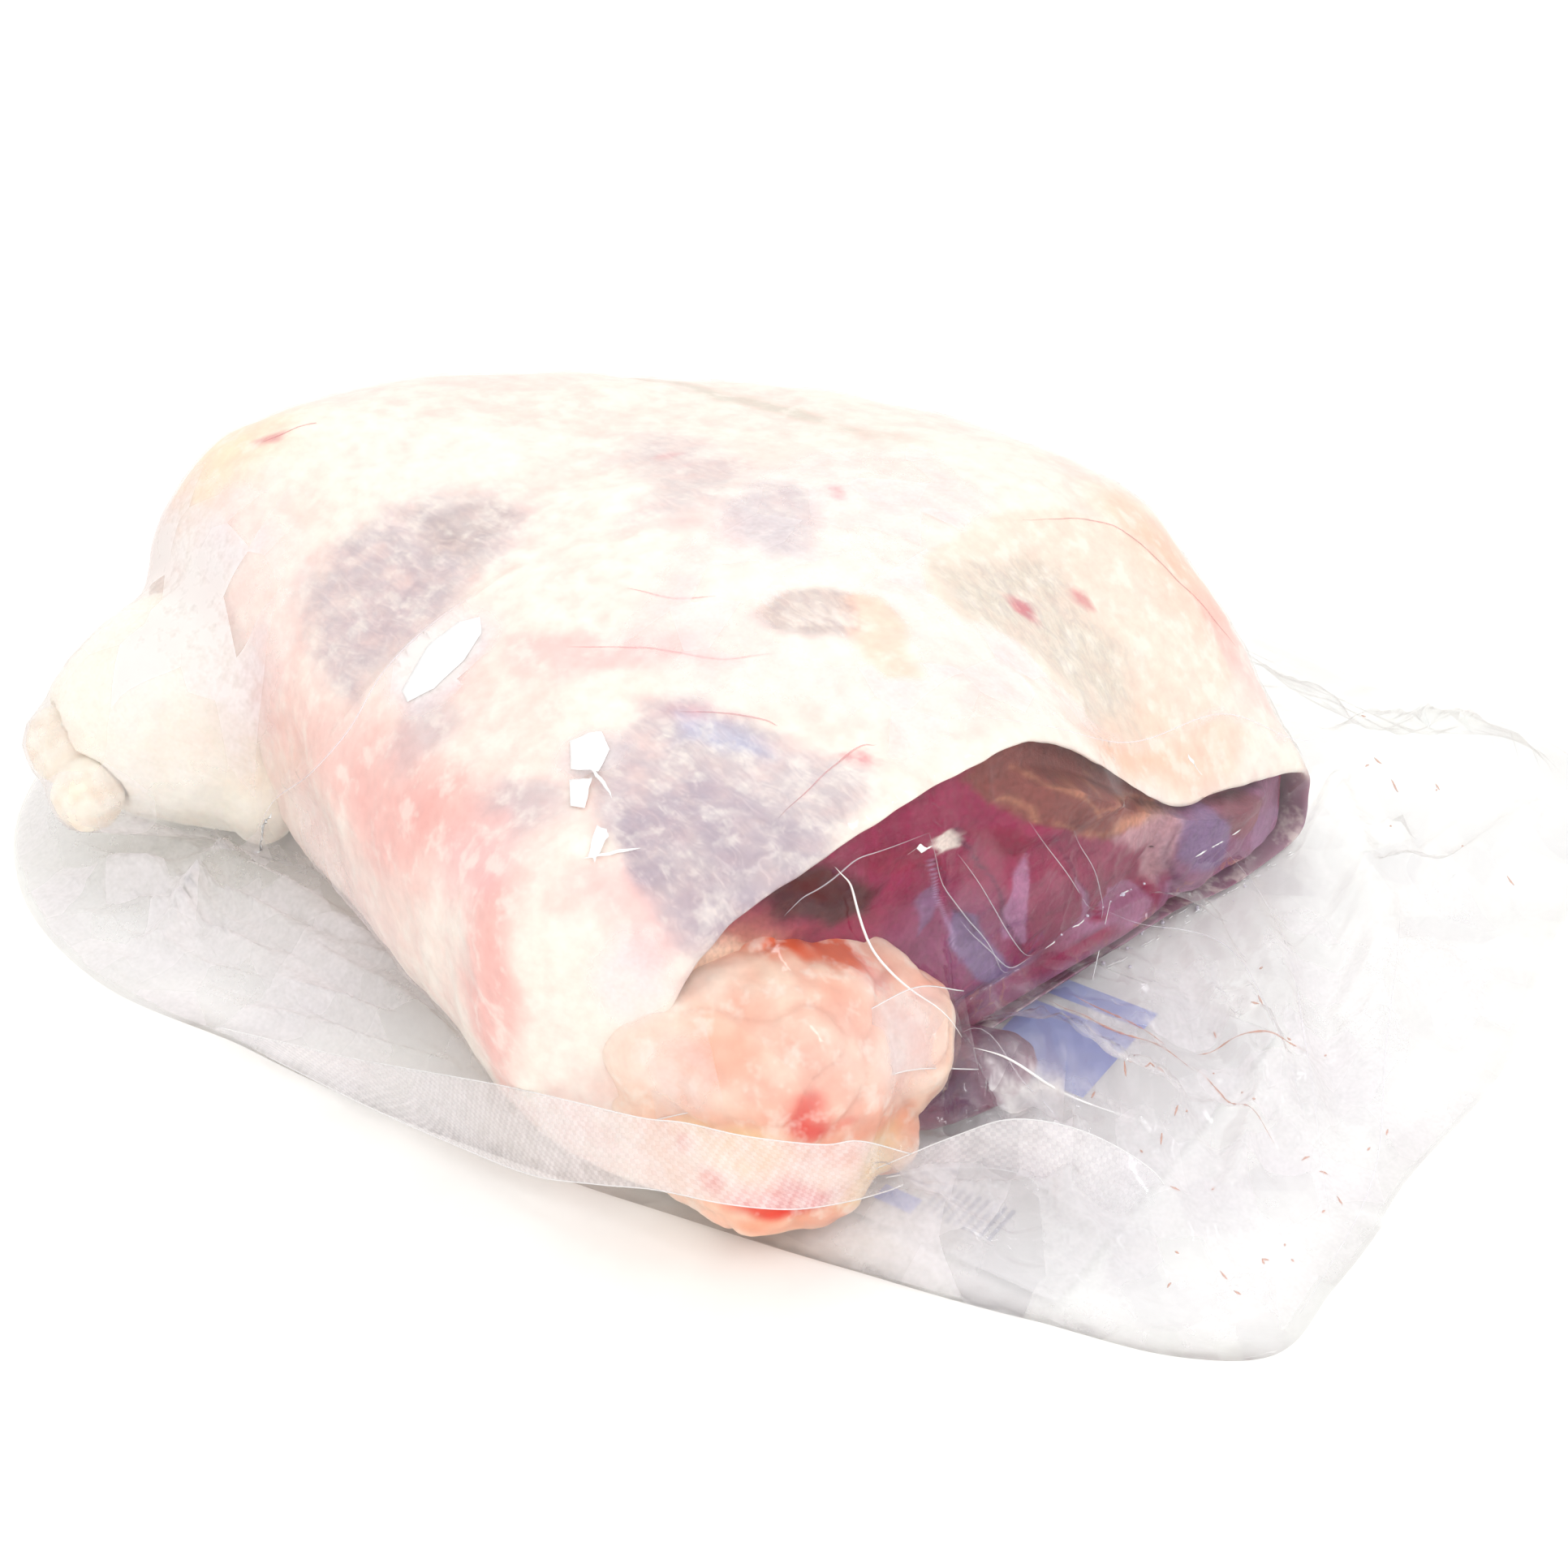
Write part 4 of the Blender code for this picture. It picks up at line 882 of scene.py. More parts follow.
def fat_material(name, roughness, streaks):
    """Raw lamb fat under its fell: soft, waxy and slightly see-through, wet where the film
    has pressed juice over it. Its tissue colours come from the mesh, and fibres of the
    muscle below run through them where it shows."""
    made, tree, output = new_material(name)
    tissue = add_node(tree, "ShaderNodeAttribute", {"attribute_name": "tissue"}).outputs["Color"]
    muscle = add_node(tree, "ShaderNodeAttribute", {"attribute_name": "muscle"}).outputs["Fac"]
    place = object_place(tree)
    # Grains of fat, about 3 mm
    grains = add_node(tree, "ShaderNodeTexNoise", {"Scale": 330.0, "Detail": 4.0, "Roughness": 0.6}, Vector=place)
    pale = ranged(tree, grains.outputs["Fac"], 0.35, 0.65, 0.95, 1.04)
    colour = mixed(tree, 1.0, tissue, add_node(tree, "ShaderNodeCombineColor", {}, Red=pale, Green=pale, Blue=pale).outputs["Color"], "MULTIPLY")
    # Lobules, about 7 mm: paler and pinker by turns
    lobes = add_node(tree, "ShaderNodeTexNoise", {"Scale": 150.0, "Detail": 3.0, "Roughness": 0.6}, Vector=place)
    blush = mixed(tree, ranged(tree, lobes.outputs["Fac"], 0.50, 0.66), (1, 1, 1, 1), (1.0, 0.950, 0.945, 1))
    colour = mixed(tree, 1.0, colour, blush, "MULTIPLY")
    colour = mixed(tree, ranged(tree, lobes.outputs["Fac"], 0.48, 0.34, 0.0, 0.45), colour, (*linear("#fef6ec"), 1))
    # Fibres, about 2 mm across and 8 mm long, slanted over the leg
    along = object_place(tree, (130, 420, 260), (0, 0, math.radians(-38)))
    fibres = add_node(tree, "ShaderNodeTexNoise", {"Scale": 1.0, "Detail": 3.0, "Roughness": 0.65, "Distortion": 1.6}, Vector=along)
    dark = ranged(tree, fibres.outputs["Fac"], 0.40, 0.62)
    amount = add_node(tree, "ShaderNodeMath", {"operation": "MULTIPLY"}, _0=dark, _1=muscle).outputs[0]
    amount = add_node(tree, "ShaderNodeMath", {"operation": "MULTIPLY", "1": streaks}, _0=amount).outputs[0]
    colour = mixed(tree, amount, colour, (*linear("#9a8b9e"), 1))
    white = ranged(tree, fibres.outputs["Fac"], 0.44, 0.32, 0.0, 0.4)
    amount = add_node(tree, "ShaderNodeMath", {"operation": "MULTIPLY"}, _0=white, _1=muscle).outputs[0]
    colour = mixed(tree, amount, colour, (*linear("#f3e6e4"), 1))
    height = add_node(tree, "ShaderNodeTexNoise", {"Scale": 160.0, "Detail": 2.0, "Roughness": 0.55}, Vector=place)
    bump = add_node(tree, "ShaderNodeBump", {"Strength": 0.35, "Distance": 0.0012}, Height=height.outputs["Fac"])
    shader = add_node(
        tree,
        "ShaderNodeBsdfPrincipled",
        {
            "Roughness": roughness,
            "IOR": 1.45,
            "Subsurface Weight": 0.15,
            "Subsurface Radius": (1.0, 0.55, 0.45),
            "Subsurface Scale": 0.003,
            "Specular IOR Level": 0.3,
        },
        Base_Color=colour,
        Normal=bump.outputs["Normal"],
    )
    tree.links.new(shader.outputs[0], output.inputs["Surface"])
    return made


def lean_material(name):
    """Raw lean lamb at a saw cut: dark, wet and finely grained, marbled with thin branching
    fat in the chump muscle."""
    made, tree, output = new_material(name)
    tissue = add_node(tree, "ShaderNodeAttribute", {"attribute_name": "tissue"}).outputs["Color"]
    marbled = add_node(tree, "ShaderNodeAttribute", {"attribute_name": "marbled"}).outputs["Fac"]
    place = object_place(tree)
    # Muscle bundles, about 1.2 mm
    grain = add_node(tree, "ShaderNodeTexNoise", {"Scale": 800.0, "Detail": 4.0, "Roughness": 0.6}, Vector=place)
    shade = ranged(tree, grain.outputs["Fac"], 0.3, 0.7, 0.80, 1.16)
    colour = mixed(tree, 1.0, tissue, add_node(tree, "ShaderNodeCombineColor", {}, Red=shade, Green=shade, Blue=shade).outputs["Color"], "MULTIPLY")
    broad = add_node(tree, "ShaderNodeTexNoise", {"Scale": 110.0, "Detail": 3.0}, Vector=place)
    wide = ranged(tree, broad.outputs["Fac"], 0.3, 0.7, 0.82, 1.15)
    colour = mixed(tree, 1.0, colour, add_node(tree, "ShaderNodeCombineColor", {}, Red=wide, Green=wide, Blue=wide).outputs["Color"], "MULTIPLY")
    # Marbling: the edges of cells of about 8 mm, bent and broken up
    bend = add_node(tree, "ShaderNodeTexNoise", {"Scale": 150.0, "Detail": 4.0, "Roughness": 0.6}, Vector=place)
    centred = add_node(tree, "ShaderNodeVectorMath", {"operation": "SUBTRACT", "1": (0.5, 0.5, 0.5)}, _0=bend.outputs["Color"])
    bent = add_node(tree, "ShaderNodeVectorMath", {"operation": "MULTIPLY_ADD", "1": (0.012, 0.012, 0.012)}, _0=centred.outputs[0], _2=place)
    cells = add_node(tree, "ShaderNodeTexVoronoi", {"feature": "DISTANCE_TO_EDGE", "Scale": 150.0}, Vector=bent.outputs[0])
    lines = ranged(tree, cells.outputs["Distance"], 0.055, 0.0, 0.0, 1.0)
    broken = ranged(tree, add_node(tree, "ShaderNodeTexNoise", {"Scale": 90.0, "Detail": 2.0}, Vector=place).outputs["Fac"], 0.38, 0.52)
    amount = add_node(tree, "ShaderNodeMath", {"operation": "MULTIPLY"}, _0=lines, _1=broken).outputs[0]
    amount = add_node(tree, "ShaderNodeMath", {"operation": "MULTIPLY"}, _0=amount, _1=marbled).outputs[0]
    colour = mixed(tree, amount, colour, (*linear(TISSUES["marbling"]), 1))
    bump = add_node(tree, "ShaderNodeBump", {"Strength": 0.4, "Distance": 0.0006}, Height=grain.outputs["Fac"])
    shader = add_node(
        tree,
        "ShaderNodeBsdfPrincipled",
        {
            "Roughness": 0.40,
            "IOR": 1.33,
            "Specular IOR Level": 0.18,
            "Subsurface Weight": 0.10,
            "Subsurface Radius": (1.0, 0.25, 0.25),
            "Subsurface Scale": 0.002,
        },
        Base_Color=colour,
        Normal=bump.outputs["Normal"],
    )
    tree.links.new(shader.outputs[0], output.inputs["Surface"])
    return made


def film_material(name, look, ribs=0.0):
    """Clear polyamide and polyethylene vacuum film, blown and smooth: nearly colourless, with
    sharp reflections, milky where it is lifted and finely wrinkled. The seam band has ribs
    pressed into it."""
    made, tree, output = new_material(name)
    place = object_place(tree)
    haze = add_node(tree, "ShaderNodeAttribute", {"attribute_name": "haze"}).outputs["Fac"]
    loose = add_node(tree, "ShaderNodeAttribute", {"attribute_name": "loose"}).outputs["Fac"]
    # Fine wrinkles of a few mm
    small = add_node(tree, "ShaderNodeTexNoise", {"Scale": 150.0, "Detail": 1.0, "Roughness": 0.5}, Vector=place)
    rough = add_node(tree, "ShaderNodeMath", {"operation": "MULTIPLY", "1": look.wrinkle}, _0=loose).outputs[0]
    bump = add_node(tree, "ShaderNodeBump", {"Distance": 0.0016}, Strength=rough, Height=small.outputs["Fac"])
    # Flat facets of 8 to 20 mm between the creases
    cells = add_node(tree, "ShaderNodeTexVoronoi", {"voronoi_dimensions": "2D", "feature": "F1", "Scale": 75.0, "Randomness": 1.0}, Vector=place)
    bump = add_node(tree, "ShaderNodeBump", {"Distance": 0.0035}, Strength=rough, Height=cells.outputs["Distance"], Normal=bump.outputs["Normal"])
    if ribs:
        # Ribs pressed in by the heated bar, 1.1 mm apart
        band = add_node(tree, "ShaderNodeUVMap", {"uv_map": "band"})
        wave = add_node(tree, "ShaderNodeTexChecker", {"Scale": 1.0}, Vector=band.outputs["UV"])
        bump = add_node(tree, "ShaderNodeBump", {"Strength": ribs, "Distance": 0.0004}, Height=wave.outputs["Fac"], Normal=bump.outputs["Normal"])
        pressed = ranged(tree, wave.outputs["Fac"], 0.0, 1.0, 0.86, 1.10)
        haze = add_node(tree, "ShaderNodeMath", {"operation": "MULTIPLY"}, _0=haze, _1=pressed).outputs[0]
    normal = bump.outputs["Normal"]
    facing = add_node(tree, "ShaderNodeLayerWeight", {"Blend": 0.5}, Normal=normal).outputs["Facing"]
    steep = add_node(tree, "ShaderNodeMath", {"operation": "POWER", "1": 5.0}, _0=facing).outputs[0]
    lifted = ranged(tree, loose, 0.0, 1.0, look.shine * 0.35, look.shine)
    shine = add_node(tree, "ShaderNodeMath", {"operation": "MULTIPLY_ADD", "1": 0.50, "use_clamp": True}, _0=steep, _2=lifted).outputs[0]
    edge = add_node(tree, "ShaderNodeMath", {"operation": "POWER", "1": 3.0}, _0=facing).outputs[0]
    tint = mixed(tree, edge, (*linear("#feffff"), 1), (*linear("#f4f1ef"), 1))
    # Some facets lie two or three deep, and are greyer
    apart = add_node(tree, "ShaderNodeSeparateColor", {}, Color=cells.outputs["Color"])
    spread = 0.12 if ribs else 0.55
    facet = ranged(tree, apart.outputs["Red"], 0.0, 1.0, 1 - spread, 1 + spread)
    deep = ranged(tree, apart.outputs["Green"], 0.5, 1.0, 0.0, 0.5)
    deep = add_node(tree, "ShaderNodeMath", {"operation": "MULTIPLY"}, _0=deep, _1=loose).outputs[0]
    tint = mixed(tree, deep, tint, (*linear("#f0eff2"), 1))
    clear = add_node(tree, "ShaderNodeBsdfTransparent", {}, Color=tint)
    gloss = add_node(tree, "ShaderNodeBsdfGlossy", {"Roughness": 0.08, "Color": (1, 1, 1, 1)}, Normal=normal)
    sheer = add_node(tree, "ShaderNodeMixShader", {}, _0=shine, _1=clear.outputs[0], _2=gloss.outputs[0])
    cloud = add_node(tree, "ShaderNodeTexNoise", {"Scale": 260.0, "Detail": 2.0, "Roughness": 0.65}, Vector=place)
    uneven = ranged(tree, cloud.outputs["Fac"], 0.30, 0.70, 0.75, 1.25)
    uneven = add_node(tree, "ShaderNodeMath", {"operation": "MULTIPLY"}, _0=uneven, _1=facet).outputs[0]
    milky = add_node(tree, "ShaderNodeMath", {"operation": "MULTIPLY", "use_clamp": True}, _0=haze, _1=uneven).outputs[0]
    # Thick haze is whiter, so that the painted highlights laid into it read as white
    white = mixed(tree, ranged(tree, haze, 0.45, 0.8), (*linear("#f8f4f8"), 1), (*linear("#fffefc"), 1))
    lit = add_node(tree, "ShaderNodeBsdfDiffuse", {}, Color=white, Normal=normal)
    through = add_node(tree, "ShaderNodeBsdfTranslucent", {"Color": (*linear("#fdfcff"), 1)}, Normal=normal)
    veil = add_node(tree, "ShaderNodeMixShader", {"0": 0.35}, _1=lit.outputs[0], _2=through.outputs[0])
    film = add_node(tree, "ShaderNodeMixShader", {}, _0=milky, _1=sheer.outputs[0], _2=veil.outputs[0])
    tree.links.new(film.outputs[0], output.inputs["Surface"])
    return made


def plain_material(name, colour, roughness, grain, coat=0.0, alpha=1.0):
    """Paper, ink, dried juice, the floor, or the white of a painted highlight: one colour with a slight grain."""
    made, tree, output = new_material(name)
    place = object_place(tree)
    fine = add_node(tree, "ShaderNodeTexNoise", {"Scale": grain, "Detail": 4.0}, Vector=place)
    shade = ranged(tree, fine.outputs["Fac"], 0.3, 0.7, 0.96, 1.03)
    grey = add_node(tree, "ShaderNodeCombineColor", {}, Red=shade, Green=shade, Blue=shade)
    tone = mixed(tree, 1.0, (*linear(colour), 1), grey.outputs["Color"], "MULTIPLY")
    settings = {"Roughness": roughness, "Coat Weight": coat, "Alpha": alpha}
    shader = add_node(tree, "ShaderNodeBsdfPrincipled", settings, Base_Color=tone)
    tree.links.new(shader.outputs[0], output.inputs["Surface"])
    return made


# ---------------------------------------------------------------- the meat


def dressed_bearing(segment, segments, closer, at):
    """The bearing of a segment, when segments stand closer round one bearing."""
    turn = 360 * segment / segments
    return turn - closer * math.sin(math.radians(turn - at))


def make_fat(meat):
    """The fat and fell round the leg, open at the cut."""

    def place(ring, segment):
        bearing = dressed_bearing(segment, SEGMENTS, CLOSER, CLOSEST_AT)
        if ring <= TAIL_RINGS:
            return tail_point(90 * ring / TAIL_RINGS, bearing, 0)
        ring -= TAIL_RINGS
        if ring <= SIDE_RINGS:
            return leg_point(side_x(ring, SIDE_RINGS), bearing, 1, 0, 1)
        ring -= SIDE_RINGS
        if ring <= RIM_RINGS:
            turn = math.pi * ring / RIM_RINGS
            half = fat_depth(CUT_X, bearing) / 2
            return leg_point(SIDE_END_X + RIM_ROUND * math.sin(turn), bearing, 1, half * (1 - math.cos(turn)), 1)
        ring -= RIM_RINGS
        if ring <= INNER_SIDE_RINGS:
            x = side_x(INNER_SIDE_RINGS - ring, INNER_SIDE_RINGS)
            return leg_point(x, bearing, 1, fat_depth(x, bearing), 1)
        ring -= INNER_SIDE_RINGS
        return tail_point(90 - 90 * ring / INNER_TAIL_RINGS, bearing, fat_depth(TAIL_END_X, bearing))

    rings = TAIL_RINGS + SIDE_RINGS + RIM_RINGS + INNER_SIDE_RINGS + INNER_TAIL_RINGS
    bm = ringed_mesh(SEGMENTS, rings, place)
    piece = finish_piece(bm, "fat_and_fell", [fat_material("raw_lamb_fat", meat.fat_roughness, 0.42)], ["fat_cover"])
    mesh = piece.data
    points, ways = points_of(mesh), normals_of(mesh)
    broad = noise_at(points, 0.020, 1)
    small = noise_at(points, 0.006, 2)
    fine = noise_at(points, 0.0028, 3)
    wobble = broad * 0.22 + small * 0.13 + fine * 0.06
    lift = broad * meat.lump_height + small * meat.lump_height * 0.35
    # The lip of fat over the pocket
    lip = off_line(points, ((79, -80, 58), (77, -91, 54), (78, -101, 52), (77, -108, 49), (72, -115, 44), (72, -125, 40)))
    lift += 0.0022 * np.exp(-((lip / 0.005) ** 2)) + small * 0.0010 * np.exp(-((lip / 0.012) ** 2))
    lift *= ease(points[:, 2] / 0.006)
    set_points(mesh, points + ways * lift[:, None])
    drift = drifted(drifted(points, 0.024, 0.007, 41), 0.008, 0.0028, 42)
    veins = np.clip(creased_at(drift, 0.016, 44), 0, 1) ** 4
    mottle = ease(broad * 0.9 + small * 0.7 + fine * 0.4 + 0.36 + veins * 0.3)[:, None]
    colours = np.array(linear(TISSUES["cream fat"])) * (1 - mottle * 0.5) + np.array(linear(TISSUES["pink fat"])) * mottle * 0.5
    colours = paint_patches(drift, colours, FAT_PATCHES, wobble * 0.6)
    top = ease((points[:, 2] - 0.034) / 0.012)
    muscle = np.zeros(len(points))
    for tissue, strength, softness, outline in FAT_OUTLINES:
        uneven = 1 - ease(small * 1.1 + fine * 0.5 + 0.1) * min(0.45, softness * 0.06)
        near = points + (drift - points) * min(1, softness / 8)
        weight = outline_weight(near, [0, 1], outline, strength, softness, broad * 0.3 + small * 0.3) * top * uneven
        colours = colours * (1 - weight[:, None]) + np.array(linear(TISSUES[tissue])) * weight[:, None]
        if tissue.endswith("under fat"):
            muscle = np.maximum(muscle, weight)
    # Webs of white fat over the windows
    web = (np.clip(creased_at(drift, 0.010, 43), 0, 1) ** 3 * muscle * 0.45)[:, None]
    colours = colours * (1 - web) + np.array(linear(TISSUES["cream fat"])) * web
    # Below the cut and at its far end, down by the table, the rim is painted as the violet muscle with a little painted
    # shade mixed in
    low = ease((RIM_DARK_Z * MM - points[:, 2]) / 0.006) * ease((points[:, 1] + 0.078) / 0.012)
    far = ease((points[:, 1] - RIM_DARK_Y * MM) / 0.012) * ease((RIM_DARK_FAR_Z * MM - points[:, 2]) / 0.010)
    rim = (np.maximum(low, far) * ease((points[:, 0] - RIM_DARK_X * MM) / 0.006) * 0.92)[:, None]
    colours = colours * (1 - rim) + np.array(linear(TISSUES["painted crease shade"])) * 0.2 * rim + np.array(linear(TISSUES["violet muscle"])) * 0.8 * rim
    paint_colours(mesh, "tissue", colours)
    paint_values(mesh, "muscle", muscle * (1 - rim[:, 0]))
    return piece


def cut_relief(y, z):
    """How far the cut face stands out: a dome for each muscle, with grooves between."""
    stand = -CUT_GROOVE
    for middle_y, middle_z, half_width, half_height, bulge in CUT_MUSCLES:
        off = ((y - middle_y) / half_width) ** 2 + ((z - middle_z) / half_height) ** 2
        if off < 1:
            stand = max(stand, (bulge + CUT_GROOVE) * (1 - off) ** 0.5 - CUT_GROOVE)
    return stand


def make_lean(meat):
    """The lean inside the fat, with the cut face as its front."""

    def place(ring, segment):
        bearing = 360 * segment / FACE_SEGMENTS
        if ring <= INNER_TAIL_RINGS:
            depth = fat_depth(TAIL_END_X, bearing) + LEAN_GAP
            return tail_point(90 * ring / INNER_TAIL_RINGS, bearing, depth)
        ring -= INNER_TAIL_RINGS
        if ring <= FACE_SIDE_RINGS:
            x = side_x(ring, FACE_SIDE_RINGS)
            return leg_point(x, bearing, 1, fat_depth(x, bearing) + LEAN_GAP, 1)
        ring -= FACE_SIDE_RINGS
        depth = fat_depth(CUT_X, bearing) + LEAN_GAP
        round_by = FACE_ROUND * (1 - (1 - UNDER_FACE_ROUND) * soft_step(-math.sin(math.radians(bearing))))
        if ring <= RIM_RINGS:
            turn = math.pi / 2 * ring / RIM_RINGS
            x = FACE_X - FACE_ROUND * (1 - math.sin(turn))
            return leg_point(x, bearing, 1, depth + round_by * (1 - math.cos(turn)), 1)
        share = 1 - (ring - RIM_RINGS) / FACE_RINGS
        edge = leg_point(FACE_X, bearing, 1, depth + round_by, 1)
        point = (Vector((FACE_X, *CUT_MIDDLE)) + SHIFT).lerp(edge, share)
        point.x += (max(cut_relief(point.y - SHIFT.y, point.z), -0.0012) + FACE_SWELL) * min(1.0, (1 - share) * 13)
        return point

    rings = INNER_TAIL_RINGS + FACE_SIDE_RINGS + RIM_RINGS + FACE_RINGS
    bm = ringed_mesh(FACE_SEGMENTS, rings, place)
    piece = finish_piece(bm, "cut_lean", [lean_material("raw_lamb_lean")], ["lean_meat"])
    mesh = piece.data
    points, ways = points_of(mesh), normals_of(mesh)
    broad, small, fine = noise_at(points, 0.012, 4), noise_at(points, 0.004, 5), noise_at(points, 0.0018, 6)
    front = ease((points[:, 0] - 0.070) / 0.008)
    set_points(mesh, points + ways * ((small * 0.0006 + broad * 0.0008) * front)[:, None])
    wobble = broad * 0.16 + small * 0.10 + fine * 0.05
    base = np.array(linear(TISSUES["magenta muscle"]))
    colours = np.tile(base, (len(points), 1))
    colours = paint_patches(points[:, [1, 2, 0]], colours, CUT_PATCHES, wobble)
    drift = drifted(points, 0.010, 0.0016, 45)
    for tissue, strength, softness, outline in CUT_OUTLINES:
        weight = (outline_weight(drift, [1, 2], outline, strength, softness, small * 0.4) * front)[:, None]
        colours = colours * (1 - weight) + np.array(linear(TISSUES[tissue])) * weight
    for tissue, strength, width, line in CUT_LINES:
        off = off_line(drift[:, 1:], line) * (1 + small * 0.5)
        weight = (strength * np.exp(-((off / (width * MM)) ** 2)) * front)[:, None]
        colours = colours * (1 - weight) + np.array(linear(TISSUES[tissue])) * weight
    paint_colours(mesh, "tissue", colours)
    marbled = outline_weight(drift, [1, 2], CUT_OUTLINES[0][3], 1.0, 3.0, small * 0.4)
    paint_values(mesh, "marbled", np.maximum(marbled * 0.6, 0.06))
    return piece


def make_pocket(meat):
    """The lumps of fat in the pocket below the cut, and the small muscle beside them."""
    fat = fat_material("raw_pocket_fat", 0.34, 0.0)
    mesh = remeshed_copy("pocket_fat", "pocket_lumps", 0.0009, 60, POCKET_ADDED)
    points, ways = points_of(mesh), normals_of(mesh)
    broad, small, fine = noise_at(points, 0.011, 7), noise_at(points, 0.0048, 8), noise_at(points, 0.0020, 9)
    creases = np.clip(creased_at(points, 0.015, 10), 0, 1)
    set_points(mesh, points + ways * (broad * 0.0011 + small * 0.0005 + fine * 0.00015 - creases**4 * 0.0010)[:, None])
    laid = points_of(mesh)
    laid[:, 2] = np.maximum(laid[:, 2], 0.0004)
    set_points(mesh, laid)
    wobble = broad * 0.25 + small * 0.18
    pale = ease(0.45 + broad * 0.8 + small * 0.5)[:, None]
    colours = np.array(linear("#eda688")) * (1 - pale) + np.array(linear("#f7d6c0")) * pale
    # Painted shade: darker in the creases between the lumps
    dark = (creases**4 * 0.4)[:, None]
    colours = colours * (1 - dark) + np.array(linear("#dd9a7c")) * dark
    # Where it meets the leg's own fat it has the same colour
    leg = tree_of("fat_and_fell")
    near = np.array([leg.find_nearest(Vector(point))[3] for point in points])
    near = (ease(1 - near / 0.013) * 0.9)[:, None]
    colours = colours * (1 - near) + np.array(linear("#f9e6d8")) * near
    drift = drifted(points, 0.009, 0.0026, 46)
    colours = paint_patches(drift, colours, POCKET_PATCHES, wobble)
    paint_colours(mesh, "tissue", colours)
    paint_values(mesh, "muscle", np.zeros(len(points)))
    place_piece(mesh, "pocket_lumps", [fat], ["pocket_fat"])

    mesh = remeshed_copy("lower_muscle", "small_muscle", 0.0008, 4)
    points, ways = points_of(mesh), normals_of(mesh)
    broad, small = noise_at(points, 0.010, 11), noise_at(points, 0.004, 12)
    set_points(mesh, points + ways * (broad * 0.0007 + small * 0.0003)[:, None])
    shade = ease(0.5 + broad)[:, None]
    colours = np.array(linear("#80465f")) * shade + np.array(linear("#6b4a63")) * (1 - shade)
    paint_colours(mesh, "tissue", colours)
    paint_values(mesh, "marbled", np.full(len(points), 0.1))
    place_piece(mesh, "small_muscle", [lean_material("raw_lamb_lean_below")], ["lower_muscle"])


def make_shank(meat):
    """The folded shank under its fell, and the knuckle of bone at its end."""
    fat = fat_material("raw_shank_fell", 0.42, 0.3)
    mesh = remeshed_copy("shank", "folded_shank", 0.0014, 12, SHANK_ADDED)
    points, ways = points_of(mesh), normals_of(mesh)
    broad, small = noise_at(points, 0.016, 13), noise_at(points, 0.005, 14)
    lift = (broad * 0.0012 + small * 0.0004) * ease(points[:, 2] / 0.006)
    set_points(mesh, points + ways * lift[:, None])
    pale = ease(0.6 + broad * 0.8)[:, None]
    colours = np.array(linear("#fffaee")) * pale + np.array(linear("#fbf0de")) * (1 - pale)
    paint_colours(mesh, "tissue", colours)
    paint_values(mesh, "muscle", ease(small * 0.8 - 0.2) * 0.3)
    place_piece(mesh, "folded_shank", [fat], ["shank"])

    mesh = remeshed_copy("shank_bone", "knuckle", 0.0008, 5)
    points, ways = points_of(mesh), normals_of(mesh)
    small = noise_at(points, 0.004, 15)
    set_points(mesh, points + ways * (small * 0.0004)[:, None])
    pale = ease(0.5 + small)[:, None]
    paint_colours(mesh, "tissue", np.array(linear("#f9f2e4")) * pale + np.array(linear("#f0e0cc")) * (1 - pale))
    paint_values(mesh, "muscle", np.zeros(len(points)))
    place_piece(mesh, "knuckle", [fat_material("cut_bone_and_gristle", 0.40, 0.0)], ["shank_bone"])


# ---------------------------------------------------------------- label


def make_label(label):
    """The paper label under the film: white, with plain blue fields and grey bars."""
    low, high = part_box("label")
    turn = math.radians(12)
    cos, sin = math.cos(turn), math.sin(turn)
    middle = ((low.x + high.x) / 2, (low.y + high.y) / 2)
    bm = bmesh.new()
    bmesh.ops.create_grid(bm, x_segments=56, y_segments=104, size=0.5)
    fields = (
        (1, -0.44, 0.04, 0.07, 0.31), (1, -0.44, 0.04, 0.35, 0.41), (1, -0.34, -0.18, -0.44, -0.39),
        *((2, -0.16 + 0.036 * bar, -0.145 + 0.036 * bar, -0.42, -0.32) for bar in range(9)),
        (2, -0.36, -0.20, -0.36, -0.35), (2, -0.36, -0.24, -0.33, -0.32), (2, -0.36, -0.14, -0.29, -0.28),
    )
    for face in bm.faces:
        where = face.calc_center_median()
        for kind, left, right, bottom, top in fields:
            if left <= where.x <= right and bottom <= where.y <= top:
                face.material_index = kind
    for vert in bm.verts:
        along, across = vert.co.x * 0.056, vert.co.y * 0.104
        wave = 0.0002 * (1 + math.sin(vert.co.y * 2 * math.pi) * math.cos(vert.co.x * 3))
        vert.co = (middle[0] + along * cos - across * sin, middle[1] + along * sin + across * cos, 0.0008 + wave)
    papers = [
        plain_material("coated_label_paper", label.paper, 0.5, 900.0, 0.0, 0.42),
        plain_material("blue_label_ink", label.ink, 0.5, 260.0, 0.0, 0.80),
        plain_material("grey_label_ink", "#ccced8", 0.5, 900.0, 0.0, 0.7),
    ]
    piece = finish_piece(bm, "paper_label", papers, ["label"])
    thick = piece.modifiers.new("paper", "SOLIDIFY")
    thick.thickness = 0.00012
    thick.offset = 0


# ---------------------------------------------------------------- the bag


